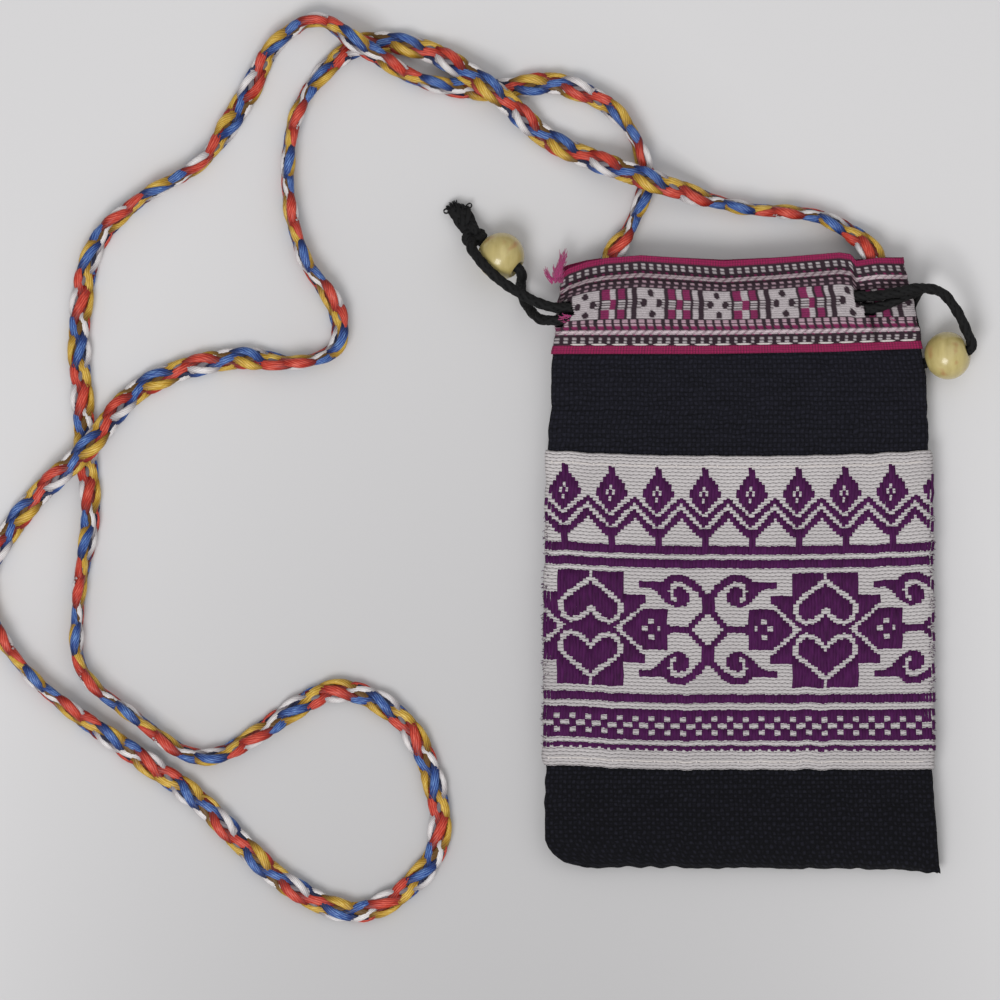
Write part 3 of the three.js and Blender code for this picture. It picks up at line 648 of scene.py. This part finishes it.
rowsUp = np.arange(pouchForm["foot"], pouchForm["mouth"] + 1.01, pouchForm["rowStep"])
sectionRows = [sectionAt(y) for y in rowsUp]
mouthWave = [(-48, -7.0), (-43.4, -3.6), (-39, -2.0), (-34.4, -1.1), (-25.6, -0.4), (-4.9, -1.8), (7.1, -1.1),
             (23.9, 0.3), (26.6, -0.1), (28.0, -1.8), (33.4, -1.0), (40, -1.1)]
footWave = [(-50, 0.2), (-30, 0.1), (10, -0.2), (36, -0.4), (49, -1.5)]


def clothLength(y, half):
    row = min(max(int(round((y - pouchForm["foot"]) / pouchForm["rowStep"])), 0), len(sectionRows) - 1)
    return sectionRows[row][half][2]


def onCloth(f, y, lift):
    # f runs 0 to 1 over the front from left to right, and 1 to 2 over the back to the left seam again
    half = 0 if f <= 1 else 1
    share = min(max(f - half, 0), 1) * pouchForm["samples"]
    row = min(max((y - pouchForm["foot"]) / pouchForm["rowStep"], 0), len(sectionRows) - 1.001)
    i, k = min(int(share), pouchForm["samples"] - 1), int(row)
    s, r = share - i, row - k
    x = z = dx = dz = 0
    for weight, rows in ((1 - r, sectionRows[k]), (r, sectionRows[k + 1])):
        xs, zs, _ = rows[half]
        x += weight * (xs[i] * (1 - s) + xs[i + 1] * s)
        z += weight * (zs[i] * (1 - s) + zs[i + 1] * s)
        dx += weight * (xs[i + 1] - xs[i])
        dz += weight * (zs[i + 1] - zs[i])
    size = hypot(dx, dz) or 1
    drop = between(mouthWave, x) * smoothStep(*pouchForm["mouthFade"], y)
    drop *= 1 if half == 0 else pouchForm["backMouth"]
    drop += (between(footWave, x) + edgeWave(x, 5.5)) * smoothStep(*pouchForm["footFade"], y)
    if half == 0:
        fill = smoothStep(0, 9, y - pouchForm["foot"])
        for tall, across, along, seed in clothRipples:
            lift += tall * fill * noise.noise((x / across, y / along, seed))
    return Vector((x - dz / size * lift, y + drop, z + dx / size * lift)) * mm


# navy cloth: coarse plain weave, with painted highlights on the thread tops and painted shade towards the foot
navyFinish = Finish("navy_cloth", 0.92, gloss=0.2)
weaveU, weaveV = navyFinish.uv()
weavePitch = 1.15
wobble = navyFinish.grain(230, 3)
warp = ((weaveU + wobble * 1.7) * (pi / weavePitch)).sin()
weft = ((weaveV + wobble * 1.7) * (pi / weavePitch)).sin()
over = warp * weft
# painted highlight: the tops of the threads are painted lighter
thread = (warp.size() * weft.size()) ** 0.6
lint = navyFinish.grain(2600, 3, 0.7)
slub = navyFinish.noise(navyFinish.vector(weaveU * 0.12, weaveV * 0.9), 2)
# painted shade: the cloth is darker towards the bottom, where the light falls off
height = navyFinish.axis(1)
navyWeaveAndPaintedLight = thread * 0.5 + over * 0.2 + slub * 0.6 + lint * 1.1 + height * 2.6 - 0.85
navyFinish.tint(navyWeaveAndPaintedLight, (4, 4, 9), (34, 34, 45))
navyFinish.bump(thread * 0.8 + over * 0.3 + lint * 0.35, 0.8, 0.35)


def pouchCloth():
    bm = bmesh.new()
    heights = [0, 0.15, 0.5, 1.1, 2, 3.3, 5, 7, 9.5, 12, *np.linspace(14, 152.4, 116)]

    def place(u, v):
        return onCloth(u * 2 if u < 1 else 0, pouchForm["foot"] + pick(heights, v), 0)

    laidGrid(bm, 240, len(heights) - 1, place, lambda u, v: (u * pouchForm["girth"], pick(heights, v)))
    closeSeams(bm, 0.02)
    cloth = addObject("navy_pouch", bm, navyFinish)
    thicken(cloth, pouchForm["wall"])
    belongs(cloth, "pouch", "pouch_cloth")


pouchCloth()
print("navy pouch made")


# woven panel: its draft is counted in quarter millimetres, across and down
draftMiddle = 742.5  # where the pouch's middle is in the drafts
panelDraft = dict(top=27.75, tall=78.5, head=450, foot=764, column=3.1133, row=1.7065, repeat=233.5, heart=592,
                  flame=46.7, firstFlame=565.2, middle=624, outer=0.9, shift=0.75, girth=198, float=1.45,
                  sink=0.46, loose=260, headBow=1.5, headWave=0.3, footBow=1.1, footWave=0.35, backLift=0.62)
flameHalf = [(0, 1.4), (5.5, 3), (10.5, 5.6), (15.5, 10), (22, 13.6), (28, 15.6), (33, 12.2), (39.5, 7.2),
             (44.5, 2.2), (47, 0)]
heartLine = [(0, 49), (24, 30), (28.5, 25), (30, 20), (28, 13), (23.5, 8), (17.5, 6.3), (10, 9), (4.5, 14),
             (0, 19.5)]
hookArc = [(4, 33.5), (10, 41), (17, 47.3), (26, 51.4), (35, 50.6), (41, 47)]
hookBody = [(67, 48.4), (52.5, 47.7), (43, 48.5), (40, 45), (30, 44), (21, 41), (17.4, 34), (18.6, 28.4),
            (22.4, 24.8), (28.4, 22.2), (37, 23.6), (43, 28.4), (50, 35.6), (56, 41.2), (67, 41.7)]
hookCurl = [(9, 20), (11, 30), (15.5, 37), (21, 42), (27.5, 44.8), (34, 43.2), (36.8, 38), (35.8, 32.5),
            (32.5, 29)]


def nearLine(a, b, line):
    best = 1e9
    for (a0, b0), (a1, b1) in zip(line, line[1:]):
        da, db = a1 - a0, b1 - b0
        t = min(max(((a - a0) * da + (b - b0) * db) / (da * da + db * db), 0), 1)
        best = min(best, hypot(a - a0 - t * da, b - b0 - t * db))
    return best


def insideShape(a, b, shape):
    hit = False
    for (a0, b0), (a1, b1) in zip(shape, shape[1:] + shape[:1]):
        if (b0 > b) != (b1 > b) and a < a0 + (b - b0) / (b1 - b0) * (a1 - a0):
            hit = not hit
    return hit


def flameFloat(across, down):
    # stepped flames with a four-dot flower, over two zigzags
    d = panelDraft
    a = abs((across - d["firstFlame"] + d["flame"] / 2) % d["flame"] - d["flame"] / 2)
    b = down - 462
    if b < 0:
        return False
    if b <= 47:
        flower = (a < 1.6 and (19 < b < 24 or 30.3 < b < 35.3)) or (1.6 < a < 4.7 and 24.6 < b < 29.6)
        if a <= between(flameHalf, b):
            return not flower
    if 513.4 - 0.92 * a <= down < 522.3 - 1.06 * a or 528.3 - 1.03 * a <= down < 537 - 1.01 * a:
        return True
    return a < 2.4 and down > 524


def bandFloat(across, down):
    # hearts in stepped blocks, and four hooks round a diamond, each the mirror of the next
    d = panelDraft
    a = abs((across - d["heart"] + d["repeat"] / 2) % d["repeat"] - d["repeat"] / 2)
    b = abs(down - d["middle"])
    diagonal = (a - 25) * 0.9 + 1
    if b > 58:
        return False
    if a <= 33.5 and b > diagonal:
        return not (a < 3 and b > 46) and nearLine(a, b, heartLine) > 2.5
    if 33.5 < a <= 53.5 and diagonal < b < 34:
        return True
    if 31 < a <= 75 and b < min((a - 31) * 0.95, 21):
        dots = (abs(a - 61.5) < 2.6 and abs(b - 8) < 2.6) or (b < 2.6 and 3.9 < abs(a - 62) < 9.4)
        return not dots
    q = d["repeat"] / 2 - a
    ring = q / 16 + b / 17.5
    if ring <= 1:
        return False
    if ring < 1.42 or (a > 74 and b < max(4.2, 7.5 - (a - 75) * 0.66)):
        return True
    if q <= 5.6 and 17 < b < 35:
        return True
    return (nearLine(q, b, hookArc) < 3.4 or insideShape(q, b, hookBody)) and nearLine(q, b, hookCurl) > 2.3


def purpleAt(column, down):
    d = panelDraft
    across = d["heart"] + column * d["column"]
    if down < 540:
        return flameFloat(across, down)
    if down < 548.2 or 554.2 <= down < 562.8:
        return True
    if 567.5 <= down < 687:
        return bandFloat(across, down)
    if 689 <= down < 697:
        return True
    if 704 <= down < 735:
        step = (column + 1) % 5
        if 711.6 <= down < 716.8 or 724.4 <= down < 729.6:
            return step > 1
        return not (717.8 <= down < 723.6 and step > 1)
    if 739.5 <= down < 746:
        return column % 3 > 0 or down < 744
    return False


def panelSpot(f, down, lift):
    # a place on the panel, whose head and foot are bowed and a little uneven
    d = panelDraft
    x = 2 * f - 1 if f <= 1 else 3 - 2 * f
    head = d["headBow"] * (1 - abs(x) ** 2.4) + d["headWave"] * noise.noise((f * 22, 1, 0))
    foot = d["footBow"] * smoothStep(-1, -0.35, x) + d["footWave"] * noise.noise((f * 26, 5, 0))
    lift *= 1 if f <= 1 else d["backLift"]
    share = (down - d["head"]) / (d["foot"] - d["head"])
    return onCloth(f, d["top"] - head - (d["tall"] + foot - head) * share, lift)


panelFinish = Finish("pale_cotton", 0.9, gloss=0.25)
threadU, threadV = panelFinish.uv()
shake = panelFinish.grain(700, 2)
rowPlace = threadV / 0.8625 + shake * 0.22
ribs = (rowPlace * pi).sin().size()
brick = ((threadU / 1.5567 + shake * 0.35 + rowPlace.floor() * 0.5).part() - 0.5).size() * 2
dash = ((1 - ribs) * 1.7 - 0.35).most(0) * (brick * 2.6 - 0.9).most(0)
pile = panelFinish.grain(2600, 3, 0.7)
cloud = panelFinish.grain(60, 2)
# painted shade: the ground is darker towards the bottom, where the light falls off
lower = panelFinish.axis(1)
groundTextureAndPaintedFalloff = cloud * 0.6 + pile * 0.7 + lower * 3 - 0.2
ground = panelFinish.mix(groundTextureAndPaintedFalloff, paint(170, 165, 166), paint(217, 212, 212))
panelFinish.colour(panelFinish.mix(dash * 0.75, ground, paint(96, 90, 92)))
panelFinish.bump(ribs * 0.7 + brick * 0.3 * ribs + pile * 0.3, 0.9, 0.3)

floatFinish = Finish("purple_float", 0.8, gloss=0.2)
streak = floatFinish.grain((2600, 420, 2600), 3, 0.6)
drift = floatFinish.grain((110, 60, 110), 2)
fleck = floatFinish.grain((1290, 300, 300), 1)
floatTone = floatFinish.mix(drift, paint(34, 1, 32), paint(62, 7, 63))
# painted highlight: lighter satin streaks along the floats
floatShine = (streak * 0.6 + fleck * 0.5 - 0.35).most(0)
floatFinish.colour(floatFinish.mix(floatShine, floatTone, paint(106, 34, 108)))
floatFinish.rough(0.62 + streak * 0.25)
floatFinish.bump(streak, 0.7, 0.15)


def floatRoute(f, top, end):
    # a float lies over the ground and dips into it at both ends
    d = panelDraft
    count = max(1, round((end - top) / 10))
    spots = [(top + 1.1 + (end - top - 2.2) * i / count, 1.0) for i in range(count + 1)]
    spots = [(top, 0.45), *spots, (end, 0.45)]
    return [(panelSpot(f, down, d["outer"] - d["sink"] - (1 - thick) * 0.4), thick) for down, thick in spots]


def wovenPanel():
    d = panelDraft
    bm = bmesh.new()
    rows, tall = 84, d["foot"] - d["head"]
    levels = [(0, 0.1), (0, 0.55), *[(k / rows, d["outer"]) for k in range(1, rows)]]
    levels += [(1, 0.55), (1, 0.1), (0.5, 0.1), (0, 0.1)]

    def place(u, v):
        share, lift = pick(levels, v)
        return panelSpot(u * 2 if u < 1 else 0, d["head"] + tall * share, lift)

    laidGrid(bm, 240, len(levels) - 1, place, lambda u, v: (u * d["girth"], pick(levels, v)[0] * d["tall"]))
    closeSeams(bm, 0.004)
    panel = addObject("panel_ground", bm, panelFinish)
    columnStep = d["column"] / 4
    frontLength, backLength = clothLength(-12, 0), clothLength(-12, 1)
    heartX = (d["heart"] - draftMiddle) / 4 + d["shift"]
    routes = []
    first = ceil((-frontLength / 2 - heartX) / columnStep)
    last = floor((frontLength / 2 + backLength - 0.4 - heartX) / columnStep)
    for column in range(first, last + 1):
        x = heartX + column * columnStep
        f = 0.5 + x / frontLength if x <= frontLength / 2 else 1 + (x - frontLength / 2) / backLength
        rng = random.Random(column)
        on = [purpleAt(column, d["head"] + (k + 0.5) * d["row"]) for k in range(int(tall / d["row"]))]
        start = None
        for k, purple in enumerate(on + [False]):
            if purple and start is None:
                start = k
            if not purple and start is not None:
                top = d["head"] + start * d["row"] - 0.1 + rng.uniform(-0.4, 0.4)
                end = d["head"] + k * d["row"] + 0.1 + rng.uniform(-0.4, 0.4)
                routes.append(floatRoute(f, top, end))
                start = None
    print("woven panel with", len(routes), "floats")
    rng = random.Random(3)
    for k in range(d["loose"]):  # loose fibres at the panel's sides
        f, down = rng.choice((0.0, 1.0)), rng.uniform(d["head"] + 60, d["foot"] - 16)
        f += rng.uniform(0, 0.012) * (1 - 2 * f)
        root, out = panelSpot(f, down, 0.8), panelSpot(f, down, 1.2 + rng.uniform(0, 0.45))
        bend = Vector((0, rng.uniform(-0.4, 0.4), rng.uniform(-0.2, 0.4))) * mm
        routes.append([(root, 0.12), (root.lerp(out, 0.6), 0.1), (out + bend, 0.07)])
    floats = tubesFromRoutes("purple_floats", routes, d["float"], [floatFinish], 6)
    belongs(panel, "pouch", "woven_panel")
    belongs(floats, "pouch")


wovenPanel()


# trim ribbon: its draft is counted in quarter millimetres, along the front and down from the mouth
trimDraft = dict(tall=97.5, length=25.0, across=524, along=92, block=66.5, blockAt=648.2, wall=0.5, casing=4.0,
                 backCasing=1.6, casingFoot=(52.6, 57.0), casingHead=(73.2, 69.4), middle=-2.3, half=44.75,
                 girth=182)
trimRise = [(-10, 0), (20, 0.5), (33, 1.0), (45, 1.5)]
magenta, darkThread, whiteThread = lit(166, 24, 88), lit(46, 30, 40), lit(204, 195, 198)
rope, rose, plum = lit(232, 212, 219), lit(206, 172, 186), lit(140, 32, 90)
# the rope's gaps take a darker copy of its rose, painted shade between the twists
dimRose, ropeGapShade = [0.6 * c for c in rose], [0.5 * c for c in rose]
# from and to, the dots' colour and height, the bare share of their pitch, and the ground's height
dottedRows = [
    (7.5, 9.7, whiteThread, 0.12, 0.5, 0), (11, 13.2, whiteThread, 0.12, 0.5, 0), (25, 27.2, rose, 0.1, 0.5, 0),
    (29, 31, dimRose, 0.06, 0.5, 0), (64.5, 66.8, rose, 0.1, 0.4, 0.02), (68, 70.2, rose, 0.1, 0.4, 0.02),
    (70.2, 74, plum, 0.04, 0.35, 0), (82.5, 84.7, whiteThread, 0.12, 0.6, 0),
    (85, 87, whiteThread, 0.12, 0.6, 0),
]


def trimBand(across, down):
    # blocks with four dots, and bars between them
    d = trimDraft
    a = (across - d["blockAt"] + 14) % d["block"] - 14
    middle = 43 <= down < 54
    rung = (down / 2.6) % 1 < 0.58
    if abs(a) < 13.6:
        fourDots = ((0, 37.2, 3.8), (1.5, 58.6, 3.8), (-7.4, 47.2, 4.6), (7.7, 47.2, 4.6))
        dots = any(hypot((a - x) / 3.2, (down - y) / tall) < 1 for x, y, tall in fourDots)
        ladder = abs(a) > 10 and 42 < down < 52.4 and not rung
        return (darkThread, 0.0) if dots or ladder else (whiteThread, 0.14)
    if 17.1 <= a < 24.8 or 33 <= a < 40:
        return (whiteThread if rung else darkThread, 0.1) if middle else (plum, 0.08)
    if 25.3 <= a < 31.2:
        return (plum, 0.06) if middle else (whiteThread, 0.14)
    if 42.4 <= a < 47.7:
        return (whiteThread if rung or not middle else darkThread, 0.12)
    return darkThread, 0.0


def trimThread(across, down):
    # colour and height of the thread at a place
    d = trimDraft
    along = (across - d["blockAt"]) / (d["block"] / 8)
    dot = abs(along % 1 - 0.5) * 2
    if down < 6 or down > 89.7:  # the ribbed edges
        # painted light and shade: the rib tops are lighter and the grooves between them darker
        rib = 0.5 + 0.5 * sin(2 * pi * across / 2.9)
        return [c * (0.55 + 0.65 * rib) for c in magenta], 0.1 + 0.1 * rib
    if 32 <= down < 63.5:
        return trimBand(across, down)
    for middle in (19.2, 76.5):  # a twisted rope
        away = abs(down - middle)
        if away < 2.2:
            # painted shade in the gaps between the twists
            gap = (along + (down - middle) / 6) % 1 < 0.28
            return ropeGapShade if gap else rope, 0.2 - 0.05 * away - (0.12 if gap else 0)
        if away < 3.4 and dot > 0.7:
            return plum, 0.04
    for start, end, thread, height, bare, ground in dottedRows:
        if start <= down < end:
            return (thread, height) if dot > bare else (darkThread, ground)
    return darkThread, 0.0


ribbonFinish = Finish("trim_ribbon", 0.8, gloss=0.3)
woven = ribbonFinish.node("ShaderNodeAttribute", {"attribute_name": "thread"})
_, trimV = ribbonFinish.uv()
nap = ribbonFinish.grain(2400, 3, 0.65)
weft = ((trimV + nap * 0.12) * (2 * pi / 0.62)).sin() * 0.5 + 0.5
ribbonFinish.colour(ribbonFinish.mix(nap * 0.5 + weft * 0.22, woven, paint(40, 26, 34)))
ribbonFinish.rough(0.7 + nap * 0.2)
ribbonFinish.bump(nap * 0.7 + weft * 0.5, 0.7, 0.18)


def trimSpot(f, down, lift):
    # the ribbon stands off the cloth over the drawstrings, and lies flat beyond the crease at the right
    d = trimDraft
    half = 0 if f <= 1 else 1
    x = d["middle"] + d["half"] * (2 * f - 1 if half == 0 else 3 - 2 * f)
    rise = between(trimRise, x) * down / d["tall"]
    y = pouchForm["mouth"] + 0.1 - down * d["length"] / d["tall"] + rise
    tall = smoothStep(*d["casingFoot"], y) * smoothStep(*d["casingHead"], y)
    if half == 0:
        crease = slitX - 2.6 * smoothStep(63.6, 65.0, y)
        leftFull = -45.4 + 2.2 * smoothStep(60.6, 62.2, y)
        stand = d["casing"] + smoothStep(-36, -42, x)
        stand *= (1 - smoothStep(crease, crease + 2.2, x)) * smoothStep(-47.2, leftFull, x)
        stand *= 0.95 + 0.05 * sin(x * 0.9)
    else:
        stand = -d["backCasing"] * smoothStep(0, 6, d["half"] - abs(x - d["middle"]))
    spot = onCloth(f, y, lift + 0.45)
    spot.z += stand * tall * mm
    return spot


def inSlit(spot):
    # the casing's openings, where the drawstrings come out
    upperLeft = spot.x < -42.6 + (63 - spot.y) * 0.3 and 61.2 < spot.y < 64.7
    lowerLeft = spot.x < -45.4 + (spot.y - 58) * 0.9 and 58.2 < spot.y <= 61.2
    upperRight = 27.4 < spot.x < 30.2 and abs(spot.y - rightLanes[1]) < 1.6
    lowerRight = 30 < spot.x < 32.8 and abs(spot.y - rightLanes[0]) < 1.6
    return upperLeft or lowerLeft or upperRight or lowerRight


def trimRibbon():
    d = trimDraft
    bm = bmesh.new()

    def threadAt(u, v):
        front = d["middle"] * 4 + draftMiddle + (u * 2 - 0.5) * d["half"] * 8
        return trimThread(front, v * d["tall"])

    def place(u, v):
        return trimSpot(u * 2 if u < 1 else 0, v * d["tall"], threadAt(u, v)[1])

    laidGrid(bm, d["across"], d["along"], place, lambda u, v: (u * d["girth"], v * d["length"]))
    layer = bm.loops.layers.float_color.new("thread")
    uvLayer = bm.loops.layers.uv["laid"]
    holes = []
    for face in bm.faces:
        for loop in face.loops:
            u, v = loop[uvLayer].uv.x / d["girth"], loop[uvLayer].uv.y / d["length"]
            shade = 1 + 0.2 * noise.noise((u * 900, v * 120, 2))
            loop[layer] = (*[c * shade for c in threadAt(u, v)[0]], 1)
        onFront = face.loops[0][uvLayer].uv.x < d["girth"] / 2
        if onFront and inSlit(face.calc_center_median() / mm):
            holes.append(face)
    bmesh.ops.delete(bm, geom=holes, context="FACES")
    closeSeams(bm, 0.004)
    ribbon = addObject("patterned_ribbon", bm, ribbonFinish)
    thicken(ribbon, d["wall"])
    belongs(ribbon, "pouch", "trim_ribbon")
    print("trim ribbon with", d["across"] * d["along"], "threads")


trimRibbon()


# sewing thread and the frayed raw end
threadFinish = Finish("sewing_thread", 0.7, **{"Sheen Weight": 0.2})
twist = threadFinish.grain((1800, 3200, 1800), 3, 0.6)
threadFinish.tint(twist, (176, 168, 166), (232, 226, 222))
threadFinish.bump(twist, 0.6, 0.1)
# needle holes: short dark tubes, painted shade inside each hole
needleHoleShade = Finish("needle_hole_shade", 0.95)
needleHoleShade.tint(needleHoleShade.grain(2400), (34, 30, 34), (84, 78, 76))
frayFinish = Finish("rose_fray", 0.75, **{"Sheen Weight": 0.3})
frayFinish.tint(frayFinish.grain(500), (136, 14, 84), (190, 50, 128))
paleFray = Finish("pale_fray", 0.75, **{"Sheen Weight": 0.3})
paleFray.tint(paleFray.grain((700, 500, 700)), (188, 92, 146), (220, 178, 204))

# places along the front from 0 to 1, and down in the drafts
trimStitch = dict(spot=trimSpot, count=17, first=0.045, pitch=0.0562, long=0.042, ends=0.25, lift=0.3,
                  sunk=0.02, thick=0.5, hole=None)
panelStitch = dict(spot=panelSpot, count=18, first=0.02, pitch=0.0535, long=0.048, ends=0.4, lift=0.93,
                   sunk=0.8, thick=0.42, hole=0.83)


def sewnRow(name, node, down, stitch):
    spot, rows, slots = stitch["spot"], [], []
    for k in range(stitch["count"]):
        start = stitch["first"] + k * stitch["pitch"]
        dash = []
        for i in range(6):
            atEnd = i in (0, 5)
            place = spot(start + stitch["long"] * i / 5, down, stitch["sunk" if atEnd else "lift"])
            dash.append((place, stitch["ends"] if atEnd else 1.0))
        rows.append(dash)
        slots.append(0)
        if stitch["hole"]:  # a needle hole between two stitches
            # drawn dark, as painted shade in the hole
            ends = ((start - 0.0035, down - 1.2), (start - 0.002, down + 1.2))
            rows.append([(spot(*end, stitch["hole"]), 1.2) for end in ends])
            slots.append(1)
    finishes = [threadFinish, needleHoleShade] if stitch["hole"] else [threadFinish]
    belongs(tubesFromRoutes(name, rows, stitch["thick"], finishes, 6, slots), "pouch", node)


# bunches of the fray: where threads start and end, in x, y and z; a near one's ends are counted from its start
frayBunches = [
    dict(count=110, root=((-47.3, -45.1), (69.2, 71.8), (7.2, 8.8)), tip=((-0.5, 0.9), (1.0, 2.6), 7.6),
         near=True, bend=0.3, slot=0),  # dense root at the ribbon's corner
    dict(count=34, root=((-47.2, -45.2), (70.5, 72.2), (7.4, 8.6)), tip=((-45.9, -43.8), (74.4, 78.0), 6.8),
         near=False, bend=0.35, slot=2),  # the long bunch, up and to the right
    dict(count=10, root=((-47.6, -47.0), (69.6, 70.6), 7.6), tip=((-50.0, -48.8), (71.4, 73.0), 7.0),
         near=False, bend=0.3, slot=2),  # the short bunch at the left
    dict(count=9, root=((-48.1, -47.4), (68.9, 69.7), 7.8), tip=((-49.9, -48.3), (71.7, 73.5), 7.9),
         near=False, bend=0.3, slot=1),  # black threads beside it
    dict(count=46, root=((-45.4, -41.2), (59.5, 61.3), (12.4, 13.0)), tip=((-2.4, 2.2), (-0.7, 1.0), 12.6),
         near=True, bend=0.35, slot=0),  # loose threads in the casing's left hole
]
for x, y in ((29.0, 60.3), (29.4, 60.1), (36.2, 60.4), (36.6, 60.2)):  # one each beside the right holes
    frayBunches.append(dict(count=1, root=(x, y, 10.6), tip=((0.6, 1.4), (-0.6, 0.6), 10.4), near=True,
                            bend=0.3, slot=0))


def frayedEnd():
    rng = random.Random(11)
    rows, slots = [], []

    def spread(spans):
        return Vector([rng.uniform(*span) if isinstance(span, tuple) else span for span in spans])

    for bunch in frayBunches:
        for k in range(bunch["count"]):
            root, tip = spread(bunch["root"]), spread(bunch["tip"])
            if bunch["near"]:
                tip.xy += root.xy
            side = spread(((-1, 1), (-1, 1), (-0.5, 0.5))) * bunch["bend"]  # a thread bows to one side
            points = [root, root.lerp(tip, 0.35) + side * 0.7, root.lerp(tip, 0.7) + side, tip]
            rows.append([(spot * mm, share) for spot, share in zip(points, (1.0, 0.9, 0.7, 0.35))])
            slots.append(bunch["slot"])
    fray = tubesFromRoutes("frayed_end", rows, 0.26, [frayFinish, knotFinish, paleFray], 4, slots)
    belongs(fray, "pouch", "trim_fray")


sewnRow("trim_stitches", "trim_stitching", 88.4, trimStitch)
sewnRow("panel_head_stitches", "panel_head_stitching", 461, panelStitch)
sewnRow("panel_foot_stitches", "panel_foot_stitching", 756, panelStitch)
frayedEnd()
print("stitches and fray made")


# hidden pieces keep their solids, with the same cord and thread finishes
for node, finish in (("left_drawstring_back_run", knotFinish), ("right_drawstring_back_run", knotFinish),
                     ("neck_cord_binding_left", threadFinish), ("neck_cord_binding_right", threadFinish),
                     ("side_seam", threadFinish), ("foot_seam", threadFinish)):
    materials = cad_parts[node].data.materials
    materials.clear()
    materials.append(finish.material)


# pale table, soft light from the lower left of the picture; the table is painted brighter towards the top and
# the sides and darker towards the bottom, as light falling off
floorFinish = Finish("pale_table", 0.75, gloss=0.2)
tableX, tableY = floorFinish.axis(0), floorFinish.axis(1)
# painted light: brighter towards the top and the sides, darker towards the bottom
paintedFloorFalloff = floorFinish.grain(3) * 0.1 + 0.5 + (tableX + 0.06) ** 2 * 30 + tableY * 3.0
floorFinish.tint(paintedFloorFalloff, (177, 176, 177), (214, 213, 214))
bm = bmesh.new()
bmesh.ops.create_grid(bm, x_segments=1, y_segments=1, size=3)
addObject("table", bm, floorFinish, smooth=False)

lamps = [dict(name="window", place=(-0.55, -1.05, 1.9), size=1.0, power=26),
         dict(name="room", place=(0.5, 0.6, 1.9), size=2.2, power=9)]
for lamp in lamps:
    data = bpy.data.lights.new(lamp["name"], "AREA")
    data.energy, data.size = lamp["power"], lamp["size"]
    light = linked(lamp["name"], data)
    light.location = lamp["place"]
    light.rotation_euler = (-Vector(lamp["place"])).to_track_quat("-Z", "Y").to_euler()
world = bpy.data.worlds.new("studio")
world.use_nodes = True
sky = world.node_tree.nodes["Background"]
sky.inputs[0].default_value, sky.inputs[1].default_value = (1, 1, 1, 1), 0.45
bpy.context.scene.world = world
bpy.context.scene.view_settings.view_transform = "Standard"
